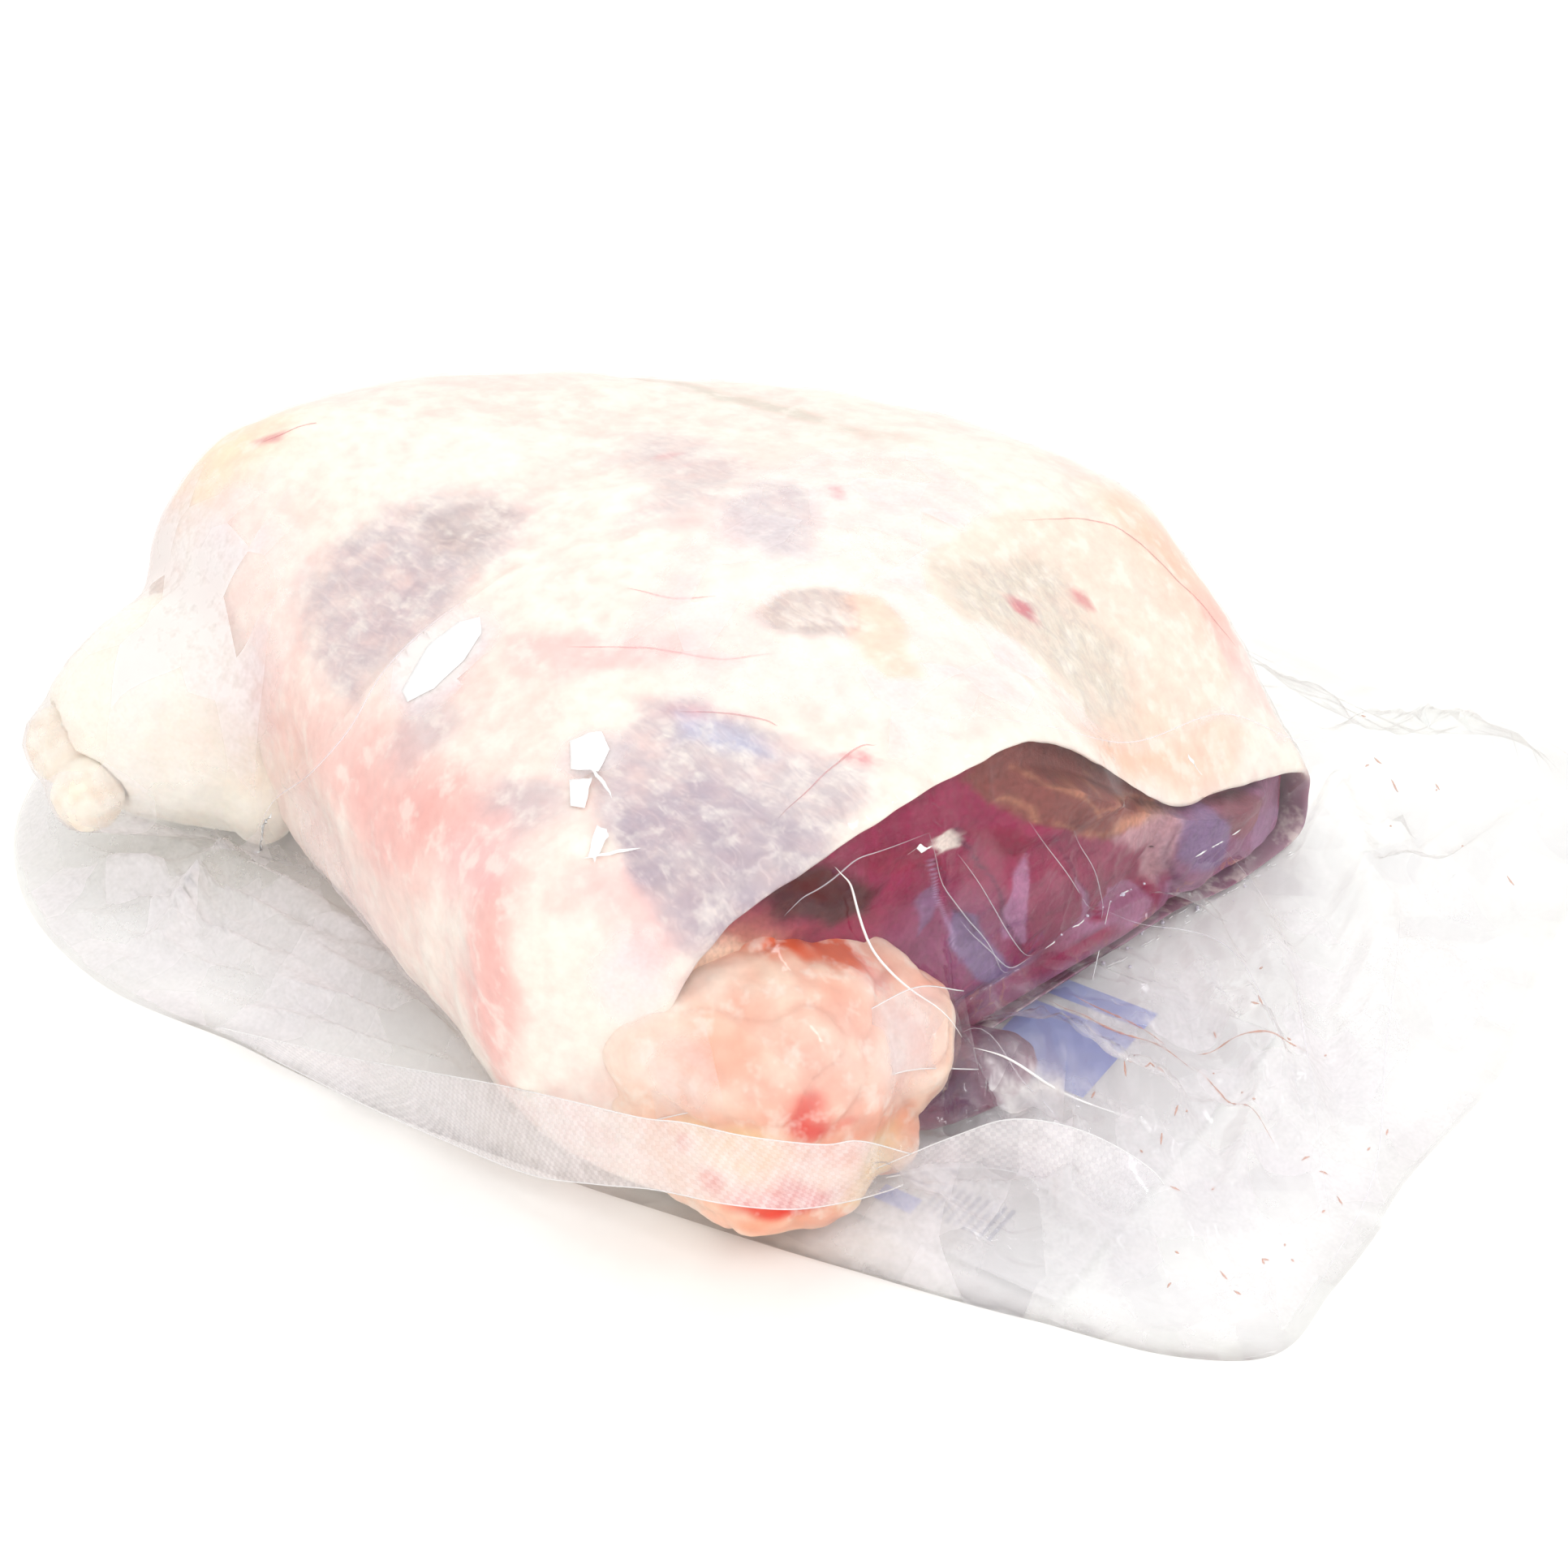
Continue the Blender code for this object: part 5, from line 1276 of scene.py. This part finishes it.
def contents_tree():
    """One search tree over the meat's dressed pieces."""
    points, faces = [], []
    for name in ("fat_and_fell", "cut_lean", "pocket_lumps", "small_muscle", "folded_shank", "knuckle"):
        mesh = bpy.data.objects[name].data
        start = len(points)
        points += [vert.co.copy() for vert in mesh.vertices]
        faces += [[start + index for index in face.vertices] for face in mesh.polygons]
    return BVHTree.FromPolygons(points, faces)


def body_net(tree, film):
    """The part of the film that lies on the meat: rings of points from the crown down to
    where it leaves, and the directions that they look in."""
    half = (CORE_END - CORE_START) / 2
    middle = (CORE_END + CORE_START) / 2
    leave_rows = round_rows(LEAVE_AT)
    start = np.zeros((FILM_BODY_RINGS + 1, FILM_SEGMENTS, 3))
    way = np.zeros_like(start)
    reach = np.zeros(start.shape[:2])
    for segment in range(FILM_SEGMENTS):
        bearing = math.radians(dressed_bearing(segment, FILM_SEGMENTS, FILM_CLOSER, FILM_CLOSEST_AT))
        cos, sin = math.cos(bearing), math.sin(bearing)
        leave = between(leave_rows, math.degrees(bearing) % 360, 1)
        lowest = -0.2
        for ring_try in range(4):
            core = middle + half * cos * math.cos(lowest)
            look = Vector((cos * math.cos(lowest), sin * math.cos(lowest), math.sin(lowest)))
            hit = tree.ray_cast(core + look * CAST_FROM, -look)[0]
            if hit is None:
                hit = core + look * 0.03
            flat = math.hypot(hit.x - core.x, hit.y - core.y)
            lowest = math.atan2(leave - core.z, flat)
        for ring in range(FILM_BODY_RINGS + 1):
            share = ring / FILM_BODY_RINGS
            angle = math.pi / 2 + (lowest - math.pi / 2) * share
            core = middle + half * cos * math.cos(angle)
            look = Vector((cos * math.cos(angle), sin * math.cos(angle), math.sin(angle)))
            hit = tree.ray_cast(core + look * CAST_FROM, -look)[0]
            start[ring, segment] = core
            way[ring, segment] = look
            reach[ring, segment] = (hit - core).length if hit is not None else 0.02
    reach += film.cling
    meat = reach.copy()
    for _ in range(RELAX_ROUNDS):
        mean = (np.roll(reach, 1, axis=1) + np.roll(reach, -1, axis=1)) / 2
        mean[1:-1] = (mean[1:-1] * 2 + reach[:-2] + reach[2:]) / 4
        reach = np.maximum(meat, mean - 0.00002)
        reach[0] = reach[0].mean()
    return start, way, reach


def make_film(film):
    """The bag, as one closed skin: its top film lies on the meat and runs out over the table
    in folds, and its bottom film lies flat below."""
    tree = contents_tree()
    start, way, reach = body_net(tree, film)
    body = start + way * reach[:, :, None]
    flat = body.reshape(-1, 3)
    ways = way.reshape(-1, 3)
    # Creases pushed out of the film where it lies on the meat
    lift = np.zeros(len(flat))
    for height, width, line in CREASES:
        share = np.clip(1 - off_line(flat, line) / (width * MM), 0, 1)
        lift = np.maximum(lift, height * MM * share**1.6)
    fine = np.clip(creased_at(flat, 0.016, 21), 0, 1) ** 5
    finer = np.clip(creased_at(flat, 0.008, 22), 0, 1) ** 5
    lower = ease(1 - (flat[:, 2] - 0.02) / 0.05)
    rim = ease((flat[:, 0] - 0.060) / 0.025)
    lift += (fine * 0.0008 + finer * 0.0004) * np.maximum(lower * 0.6, rim) * film.crumple
    flat = flat + ways * lift[:, None]
    body = flat.reshape(body.shape)

    outline = round_rows(
        [
            (math.degrees(math.atan2(y * MM - BAG_MIDDLE[1], x * MM - BAG_MIDDLE[0])) % 360,
             math.hypot(y * MM - BAG_MIDDLE[1], x * MM - BAG_MIDDLE[0]))
            for x, y in BAG_OUTLINE
        ]
    )
    leave = body[-1]
    edge = np.zeros_like(leave)
    for segment in range(FILM_SEGMENTS):
        off = leave[segment] - np.array((*BAG_MIDDLE, 0))
        bearing = math.degrees(math.atan2(off[1], off[0])) % 360
        far = between(outline, bearing, 1)
        edge[segment] = (
            BAG_MIDDLE[0] + far * math.cos(math.radians(bearing)),
            BAG_MIDDLE[1] + far * math.sin(math.radians(bearing)),
            FILM_FLOOR,
        )
    share = (np.arange(1, FILM_SKIRT_RINGS + 1) / FILM_SKIRT_RINGS)[:, None]
    skirt = leave[None] + (edge - leave)[None] * share[:, :, None]
    skirt[:, :, 2] = FILM_FLOOR + (leave[None, :, 2] - FILM_FLOOR) * (1 - share) ** RISE_FADE
    flat = skirt.reshape(-1, 3)
    shares = np.repeat(share[:, 0], FILM_SEGMENTS)
    fold = np.zeros(len(flat))
    for height, width, line in FOLDS:
        part = np.clip(1 - off_line(flat, line) / (width * MM), 0, 1)
        fold = np.maximum(fold, height * MM * (part**1.5 * 0.7 + ease(part) * 0.3))
    ground = flat * np.array((1, 1, 0))
    ripples = ease(noise_at(ground, 0.045, 25) * 0.8 + 0.4) * 0.0035
    for index, (turn, long, wide, height, middle, half) in enumerate(FOLD_FIELDS):
        cos, sin = math.cos(math.radians(turn)), math.sin(math.radians(turn))
        along = ground[:, 0] * cos + ground[:, 1] * sin
        across = ground[:, 1] * cos - ground[:, 0] * sin
        drawn = np.stack((along / long, across / wide, np.zeros(len(ground))), axis=1) / MM
        part = np.clip(creased_at(drawn, 1.0, 30 + index), 0, 1) ** 1.8
        where = patch_weight(ground, (*middle, 0), (*half, 20), 0, 1.0, 1.0, 0)
        ripples += part * where * height * MM
    fade = np.minimum(1, shares * 5) * np.minimum(1, (1 - shares) * 2.2)
    flat[:, 2] += (fold + ripples * film.crumple) * fade
    skirt = flat.reshape(skirt.shape)

    nets = np.concatenate((body, skirt))
    under_edge = skirt[-1] * np.array((1, 1, 0))
    centre = under_edge.mean(axis=0)

    rings = FILM_BODY_RINGS + FILM_SKIRT_RINGS + FILM_UNDER_RINGS + 1

    def place(ring, segment):
        ring = rings - ring
        if ring < len(nets):
            return nets[ring, segment]
        share = (ring - len(nets)) / FILM_UNDER_RINGS
        point = under_edge[segment] * (1 - share) + centre * share
        return point + np.array((0, 0, 0.0001))

    bm = ringed_mesh(FILM_SEGMENTS, rings, place)
    piece = finish_piece(bm, "clear_bag", [film_material("vacuum_film", film)], ["bag"])
    mesh = piece.data
    points = points_of(mesh)
    broad, small = noise_at(points, 0.018, 26), noise_at(points, 0.005, 27)
    wobble = broad * 0.20 + small * 0.10
    # The haze holds the film's milkiness and also painted highlights
    haze = np.full(len(points), film.haze)
    for middle, half, turn, amount, softness in HAZE_AND_HIGHLIGHT_PATCHES:
        haze = np.maximum(haze, patch_weight(points, middle, half, turn, amount, softness, wobble))
    top = ease((points[:, 2] - 0.034) / 0.012) * ease((normals_of(mesh)[:, 2] - 0.20) / 0.25)
    drift = drifted(points, 0.012, 0.0016, 47)
    for amount, softness, outline in HAZE_OUTLINES:
        haze = np.maximum(haze, outline_weight(drift, [0, 1], outline, amount, softness, broad * 0.3) * top)
    # Painted highlights along the creases
    for amount, width, line in CREASE_HIGHLIGHT_LINES:
        haze = np.maximum(haze, amount * np.exp(-((off_line(drift, line) / (width * MM)) ** 2)) * (0.7 + small * 0.5))
    # Streaks over the label: painted highlights of the film's creases there
    streaks = np.clip(creased_at(points * np.array((0.35, 1, 1)), 0.007, 48), 0, 1) ** 2
    over = patch_weight(points, (112, -46, 8), (34, 34, 14), -20, 1.0, 0.8, wobble)
    haze = np.maximum(haze, (0.26 + streaks * 0.60) * over)
    for amount, softness, outline in WET_OUTLINES:
        haze *= 1 - outline_weight(drift, [0, 1], outline, amount, softness, 0) * top
    haze[points[:, 2] < 0.0005] = film.haze
    paint_values(mesh, "haze", haze)
    loose = np.full(len(points), 0.30)
    for middle, half, turn, amount, softness in LOOSE_PATCHES:
        weight = patch_weight(points, middle, half, turn, 1.0, softness, wobble)
        loose = loose * (1 - weight) + amount * weight
    paint_values(mesh, "loose", loose)
    return piece


def tree_of(name):
    """A search tree over one piece's surface."""
    mesh = bpy.data.objects[name].data
    return BVHTree.FromPolygons([vert.co.copy() for vert in mesh.vertices], [tuple(face.vertices) for face in mesh.polygons])


def laid_on(tree, point, lift, farthest=0.014):
    """The nearest point of a surface, lifted off it, if it is near enough."""
    place, normal, _, _ = tree.find_nearest(point, farthest)
    return point if place is None else place + normal * lift


def eased(path, rounds=8):
    """A path with its wobbles taken out and its ends kept."""
    for _ in range(rounds):
        path = [path[0], *((a + b * 2 + c) / 4 for a, b, c in zip(path, path[1:], path[2:])), path[-1]]
    return path


def add_highlight_flake(bm, corners, tree):
    """Adds a thin flat white flake, a painted highlight laid on the film, to a bmesh."""
    flake = bmesh.new()
    verts = [bmesh.ops.create_vert(flake, co=corner)["vert"][0] for corner in corners]
    made = bmesh.ops.contextual_create(flake, geom=verts)["faces"]
    bmesh.ops.triangulate(flake, faces=made)
    bmesh.ops.subdivide_edges(flake, edges=flake.edges[:], cuts=5, use_grid_fill=True)
    for vert in flake.verts:
        vert.co = laid_on(tree, vert.co, 0.0002)
    bmesh.ops.solidify(flake, geom=flake.faces[:], thickness=0.00005)
    mesh = bpy.data.meshes.new("flake")
    flake.to_mesh(mesh)
    flake.free()
    bm.from_mesh(mesh)
    bpy.data.meshes.remove(mesh)


def make_highlights(film):
    """Painted highlights: white strands along the bright creases and film edges, white flakes, short white crumples,
    and the short glints beside them."""
    tree = tree_of("clear_bag")
    bm, highlights = bmesh.new(), bmesh.new()
    for radius, line in HIGHLIGHT_STRANDS:
        path = eased([laid_on(tree, point, radius * MM) for point in smooth_line(line, 8)])
        last = len(path) - 1
        radii = [radius * MM * (0.10 + 0.90 * math.sin(math.pi * index / last)) for index in range(last + 1)]
        if radius > BRIGHT_FROM:
            add_tube(highlights, path, radii, 6)
        else:
            add_tube(bm, path, radii, 6)
    for outline in HIGHLIGHT_FLAKES:
        add_highlight_flake(highlights, [Vector(corner) * MM for corner in outline], tree)
    draw = random.Random(11)
    for start, end, spread, count in HIGHLIGHT_CRUMPLES:
        for _ in range(count):
            share = draw.random()
            middle = Vector(start).lerp(Vector(end), share) + Vector([draw.gauss(0, 0.5) * part for part in spread])
            turn, long = draw.gauss(0.3, 0.5), 0.6 + 1.6 * draw.random() ** 2
            step = Vector((0, math.cos(turn), math.sin(turn))) * long
            path = [laid_on(tree, (middle + step * part) * MM, 0.0001, 0.03) for part in (-1, -0.4, 0.3, 1)]
            add_tube(highlights, path, [0.00005, 0.00016, 0.00020, 0.00006], 5)
    for radius, line in GLINTS:
        path = [laid_on(tree, point, 0) for point in smooth_line(line, 4)]
        last = len(path) - 1
        radii = [radius * MM * (0.10 + 0.90 * math.sin(math.pi * index / last)) for index in range(last + 1)]
        add_tube(highlights, path, radii, 6)
    # The white of these pieces is painted highlight
    finish_piece(bm, "faint_creases", [plain_material("faint_film_highlight", "#f6f4fb", 0.25, 500.0, 0.3, 0.35)], [])
    finish_piece(highlights, "bright_creases", [plain_material("painted_film_highlight", "#ffffff", 0.25, 500.0, 0.5)], [])


def make_veins():
    """Fine veins in the fell, half sunk in the fat."""
    tree = tree_of("fat_and_fell")
    bm = bmesh.new()
    for line in VEINS:
        path = [laid_on(tree, point, -0.0001) for point in smooth_line(line, 10)]
        last = len(path) - 1
        radii = [0.00017 * (0.15 + 0.85 * math.sin(math.pi * index / last)) for index in range(last + 1)]
        add_tube(bm, path, radii, 6)
    finish_piece(bm, "fell_veins", [plain_material("blood_vein", "#e48f98", 0.4, 700.0, 0.0, 0.32)], [])


def make_band(name, top, bottom, steps, rows, sag, material, haze, loose):
    """A strip of film between two lines, with its own UV in ribs of the seam's spacing."""
    upper, lower = smooth_line(top, steps), smooth_line(bottom, steps)
    count = len(upper) - 1
    run = [0.0]
    for start, end in zip(upper, upper[1:]):
        run.append(run[-1] + (end - start).length)
    bm = bmesh.new()
    bmesh.ops.create_grid(bm, x_segments=count, y_segments=rows, size=0.5)
    uv = bm.loops.layers.uv.new("band")
    places = {}
    for vert in bm.verts:
        index, share = round((vert.co.x + 0.5) * count), vert.co.y + 0.5
        start, end = lower[index], upper[index]
        point = start.lerp(end, share)
        bow = math.sin(math.pi * share) * sag
        places[vert] = (run[index] / RIB_SPACING, share * (end - start).length / RIB_SPACING)
        vert.co = point + Vector((0.60, -0.58, 0.54)) * bow
    for face in bm.faces:
        for loop in face.loops:
            loop[uv].uv = places[loop.vert]
    piece = finish_piece(bm, name, [material], [])
    size = len(piece.data.vertices)
    along = np.empty(size)
    for vert in piece.data.vertices:
        along[vert.index] = min((vert.co - upper[0]).length, (vert.co - upper[-1]).length)
    paint_values(piece.data, "haze", haze * ease(along / BAND_FADE))
    paint_values(piece.data, "loose", np.full(size, loose))
    return piece


def make_seam(film):
    """The bag's sealed seam with its pressed ribs, its twisted loop, and the fold of film
    that lies over the pocket."""
    ribbed = film_material("ribbed_seam_film", film, 0.5)
    make_band("seam_band", SEAM_TOP, SEAM_BOTTOM, 14, 12, 0.0015, ribbed, 0.52, 0.6)
    make_band("seam_loop", LOOP_TOP, LOOP_BOTTOM, 14, 12, 0.0020, ribbed, 0.60, 0.7)
    make_band("pocket_veil", VEIL_TOP, VEIL_BOTTOM, 12, 14, 0.0010, film_material("folded_film", film), 0.24, 0.5)
    # White lines along the bands' edges: the film's edges, drawn with a painted highlight
    bm = bmesh.new()
    for line in (SEAM_TOP, SEAM_BOTTOM, LOOP_TOP, LOOP_BOTTOM, VEIL_TOP, VEIL_BOTTOM):
        path = smooth_line(line, 8)
        add_tube(bm, path, [0.00015] * len(path), 5)
    finish_piece(bm, "seam_edges", [plain_material("film_edge_highlight", "#fbfbfc", 0.25, 500.0, 0.4, 0.7)], [])


def make_juice(film):
    """Streaks and flecks of meat juice dried between the films, and small white beads along the cut's lower edge,
    painted highlights for the glints of bubbles of it."""
    tree = tree_of("clear_bag")
    draw = random.Random(7)
    bm = bmesh.new()

    def drop(x, y):
        hit = tree.ray_cast(Vector((x, y, 0.3)), Vector((0, 0, -1)))[0]
        return hit if hit is not None else Vector((x, y, 0.001))

    for line in JUICE:
        path = [drop(point.x, point.y) for point in smooth_line([(*point, 0) for point in line], 10)]
        last = len(path) - 1
        path = eased(path, 10)
        radii = [0.00032 * (0.2 + 0.8 * draw.random()) * math.sin(math.pi * (index + 0.4) / (last + 0.8)) for index in range(last + 1)]
        add_tube(bm, path, radii, 5)
    for x, y, half_x, half_y, count in FLECKS:
        for _ in range(count):
            at_x = (x + (draw.random() * 2 - 1) * half_x) * MM
            at_y = (y + (draw.random() * 2 - 1) * half_y) * MM
            turn, length = draw.random() * math.tau, (0.5 + draw.random() * 1.8) * MM
            step = Vector((math.cos(turn), math.sin(turn), 0)) * length / 2
            path = [drop(at_x + step.x * part, at_y + step.y * part) for part in (-1, -0.5, 0, 0.5, 1)]
            add_tube(bm, path, [0.00008, 0.00020, 0.00026, 0.00018, 0.00007], 5)
    finish_piece(bm, "juice_streaks", [plain_material("dried_meat_juice", "#d98f6a", 0.4, 900.0, 0.3, 0.40)], [])

    # Painted highlights: small white beads for the glints of juice bubbles
    bm = bmesh.new()
    for x, y, z, half_x, half_y, half_z, count in SPARKLES:
        for _ in range(count):
            off = [draw.gauss(0, 0.5) * half for half in (half_x, half_y, half_z)]
            point = laid_on(tree, Vector((x + off[0], y + off[1], z + off[2])) * MM, 0.0001, 0.03)
            made = bmesh.ops.create_icosphere(bm, subdivisions=1, radius=(0.15 + 0.45 * draw.random() ** 2) * MM)
            bmesh.ops.translate(bm, vec=point, verts=made["verts"])
    finish_piece(bm, "juice_bubbles", [plain_material("bubble_glint_white", "#f4f0ff", 0.15, 500.0, 0.6, 0.8)], [])


def make_stage(stage):
    """A white floor, soft light from behind and above, and the camera."""
    scene = bpy.context.scene
    bm = bmesh.new()
    bmesh.ops.create_grid(bm, x_segments=2, y_segments=2, size=1.6)
    for vert in bm.verts:
        vert.co.z = -0.0006
    mesh = bpy.data.meshes.new("floor")
    bm.to_mesh(mesh)
    bm.free()
    floor = bpy.data.objects.new("floor", mesh)
    scene.collection.objects.link(floor)
    mesh.materials.append(plain_material("matt_white_table", "#fafaf8", 0.8, 40.0))

    world = bpy.data.worlds.new("white_studio")
    world.use_nodes = True
    world.node_tree.nodes["Background"].inputs["Color"].default_value = (1.0, 0.985, 0.970, 1)
    world.node_tree.nodes["Background"].inputs["Strength"].default_value = stage.sky
    scene.world = world

    turn, rise = math.radians(stage.azimuth), math.radians(stage.elevation)
    back = Vector((math.sin(turn) * math.cos(rise), -math.cos(turn) * math.cos(rise), math.sin(rise)))
    right = Vector((math.cos(turn), math.sin(turn), 0))
    away = Vector((-math.sin(turn), math.cos(turn), 0))
    aim = Vector(stage.aim)
    lights = (
        ("back_key", away * 0.80 - right * 0.10 + Vector((0, 0, 1.05)), 1.10, 1.10, stage.key, (1.0, 1.0, 1.0)),
        ("front_fill", right * 0.10 - away * 0.90 + Vector((0, 0, 0.60)), 0.90, 0.60, stage.fill, (1.0, 0.99, 0.98)),
        ("front_strip", -away * 0.35 + right * 0.55 + Vector((0, 0, 0.75)), 0.08, 0.50, stage.glints * 0.6, (0.97, 0.98, 1.0)),
    )
    for name, off, width, length, power, colour in lights:
        data = bpy.data.lights.new(name, "AREA")
        data.shape = "RECTANGLE"
        data.size, data.size_y = width, length
        data.energy = power
        data.color = colour
        lamp = bpy.data.objects.new(name, data)
        lamp.location = aim + off
        lamp.rotation_euler = (-off).to_track_quat("-Z", "Y").to_euler()
        scene.collection.objects.link(lamp)

    data = bpy.data.cameras.new("camera")
    data.lens = stage.lens
    data.sensor_width = 36.0
    data.clip_start, data.clip_end = 0.01, 20.0
    camera = bpy.data.objects.new("camera", data)
    camera.location = aim + back * stage.distance
    camera.rotation_euler = (-back).to_track_quat("-Z", "Y").to_euler()
    scene.collection.objects.link(camera)
    scene.camera = camera
    scene.view_settings.view_transform = "Standard"
    scene.view_settings.exposure = stage.exposure
    scene.cycles.transparent_max_bounces = 14


# ---------------------------------------------------------------- the add-on


class MeatSettings(bpy.types.PropertyGroup):
    fat_roughness: FloatProperty(name="Fat roughness", description="How matt the fat is", default=0.38, min=0, max=1)
    lump_height: FloatProperty(name="Lump height", description="Height of the fat's soft lumps", default=0.0011, unit="LENGTH")


class FilmSettings(bpy.types.PropertyGroup):
    cling: FloatProperty(name="Gap", description="How far the film stands off the meat", default=0.0006, unit="LENGTH")
    haze: FloatProperty(name="Haze", description="Milkiness of the film everywhere", default=0.02, min=0, max=1)
    crumple: FloatProperty(name="Crumple", description="How strongly the film is crumpled", default=1.0, min=0)
    wrinkle: FloatProperty(name="Wrinkle", description="Strength of its fine wrinkles", default=0.35, min=0, max=1)
    shine: FloatProperty(name="Shine", description="Share reflected head on", default=0.055, min=0, max=1)


class LabelSettings(bpy.types.PropertyGroup):
    paper: bpy.props.StringProperty(name="Paper", description="The paper's colour, as hex", default="#fcfcfd")
    ink: bpy.props.StringProperty(name="Ink", description="The fields' colour, as hex", default="#a9b4ea")


class StageSettings(bpy.types.PropertyGroup):
    azimuth: FloatProperty(name="Azimuth", description="The camera's bearing in degrees", default=46.0)
    elevation: FloatProperty(name="Elevation", description="The camera's height in degrees", default=33.0)
    distance: FloatProperty(name="Distance", description="From the aim to the camera", default=0.62, unit="LENGTH")
    lens: FloatProperty(name="Lens", description="Focal length in mm", default=60.0)
    aim: FloatVectorProperty(name="Aim", description="Where the camera looks", default=(0.0140, -0.0305, 0.035), unit="LENGTH")
    sky: FloatProperty(name="Sky", description="Strength of the white surround", default=1.12, min=0)
    key: FloatProperty(name="Key", description="Power of the back light", default=2.6, unit="POWER")
    fill: FloatProperty(name="Fill", description="Power of the front light", default=1.2, unit="POWER")
    glints: FloatProperty(name="Glints", description="Power of the strip lights", default=1.5, unit="POWER")
    exposure: FloatProperty(name="Exposure", description="Brightness of the picture, in stops", default=-0.04)


class LAMB_OT_fat(bpy.types.Operator):
    """Make the fat and fell round the leg"""

    bl_idname = "lamb.fat"
    bl_label = "Fat and fell"

    def execute(self, context):
        make_fat(context.scene.lamb_meat)
        return {"FINISHED"}


class LAMB_OT_lean(bpy.types.Operator):
    """Make the lean and its cut face"""

    bl_idname = "lamb.lean"
    bl_label = "Cut face"

    def execute(self, context):
        make_lean(context.scene.lamb_meat)
        return {"FINISHED"}


class LAMB_OT_pocket(bpy.types.Operator):
    """Make the pocket's lumps of fat and the small muscle below them"""

    bl_idname = "lamb.pocket"
    bl_label = "Pocket"

    def execute(self, context):
        make_pocket(context.scene.lamb_meat)
        return {"FINISHED"}


class LAMB_OT_shank(bpy.types.Operator):
    """Make the folded shank and its knuckle"""

    bl_idname = "lamb.shank"
    bl_label = "Shank"

    def execute(self, context):
        make_shank(context.scene.lamb_meat)
        return {"FINISHED"}


class LAMB_OT_label(bpy.types.Operator):
    """Make the paper label"""

    bl_idname = "lamb.label"
    bl_label = "Label"

    def execute(self, context):
        make_label(context.scene.lamb_label)
        return {"FINISHED"}


class LAMB_OT_film(bpy.types.Operator):
    """Make the clear bag, with its folds and creases"""

    bl_idname = "lamb.film"
    bl_label = "Bag"

    def execute(self, context):
        make_film(context.scene.lamb_film)
        return {"FINISHED"}


class LAMB_OT_creases(bpy.types.Operator):
    """Make the painted highlights on the creases, the veins and the sealed seam"""

    bl_idname = "lamb.creases"
    bl_label = "Creases and seam"

    def execute(self, context):
        make_highlights(context.scene.lamb_film)
        make_veins()
        make_seam(context.scene.lamb_film)
        return {"FINISHED"}


class LAMB_OT_juice(bpy.types.Operator):
    """Make the streaks, flecks and bubbles of juice"""

    bl_idname = "lamb.juice"
    bl_label = "Juice"

    def execute(self, context):
        make_juice(context.scene.lamb_film)
        return {"FINISHED"}


class LAMB_OT_stage(bpy.types.Operator):
    """Make the floor, the lights and the camera"""

    bl_idname = "lamb.stage"
    bl_label = "Stage"

    def execute(self, context):
        make_stage(context.scene.lamb_stage)
        return {"FINISHED"}


OPERATORS = (
    LAMB_OT_fat,
    LAMB_OT_lean,
    LAMB_OT_pocket,
    LAMB_OT_shank,
    LAMB_OT_label,
    LAMB_OT_film,
    LAMB_OT_creases,
    LAMB_OT_juice,
    LAMB_OT_stage,
)
SETTINGS = {
    "lamb_meat": MeatSettings,
    "lamb_film": FilmSettings,
    "lamb_label": LabelSettings,
    "lamb_stage": StageSettings,
}


class LAMB_PT_panel(bpy.types.Panel):
    """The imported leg's pieces and their settings"""

    bl_idname = "LAMB_PT_panel"
    bl_label = "Packed leg of lamb"
    bl_space_type = "VIEW_3D"
    bl_region_type = "UI"
    bl_category = "Lamb"

    def draw(self, context):
        for operator in OPERATORS:
            self.layout.operator(operator.bl_idname)
        for name in SETTINGS:
            group = getattr(context.scene, name)
            for key in group.__annotations__:
                self.layout.prop(group, key)


def register():
    for kind in (*SETTINGS.values(), *OPERATORS, LAMB_PT_panel):
        bpy.utils.register_class(kind)
    for name, kind in SETTINGS.items():
        setattr(bpy.types.Scene, name, PointerProperty(type=kind))


def unregister():
    for name in SETTINGS:
        delattr(bpy.types.Scene, name)
    for kind in reversed((*SETTINGS.values(), *OPERATORS, LAMB_PT_panel)):
        bpy.utils.unregister_class(kind)


def main():
    register()
    bpy.ops.lamb.fat()
    bpy.ops.lamb.lean()
    bpy.ops.lamb.pocket()
    bpy.ops.lamb.shank()
    bpy.ops.lamb.label()
    bpy.ops.lamb.film()
    bpy.ops.lamb.creases()
    bpy.ops.lamb.juice()
    bpy.ops.lamb.stage()


if __name__ == "__main__":
    main()
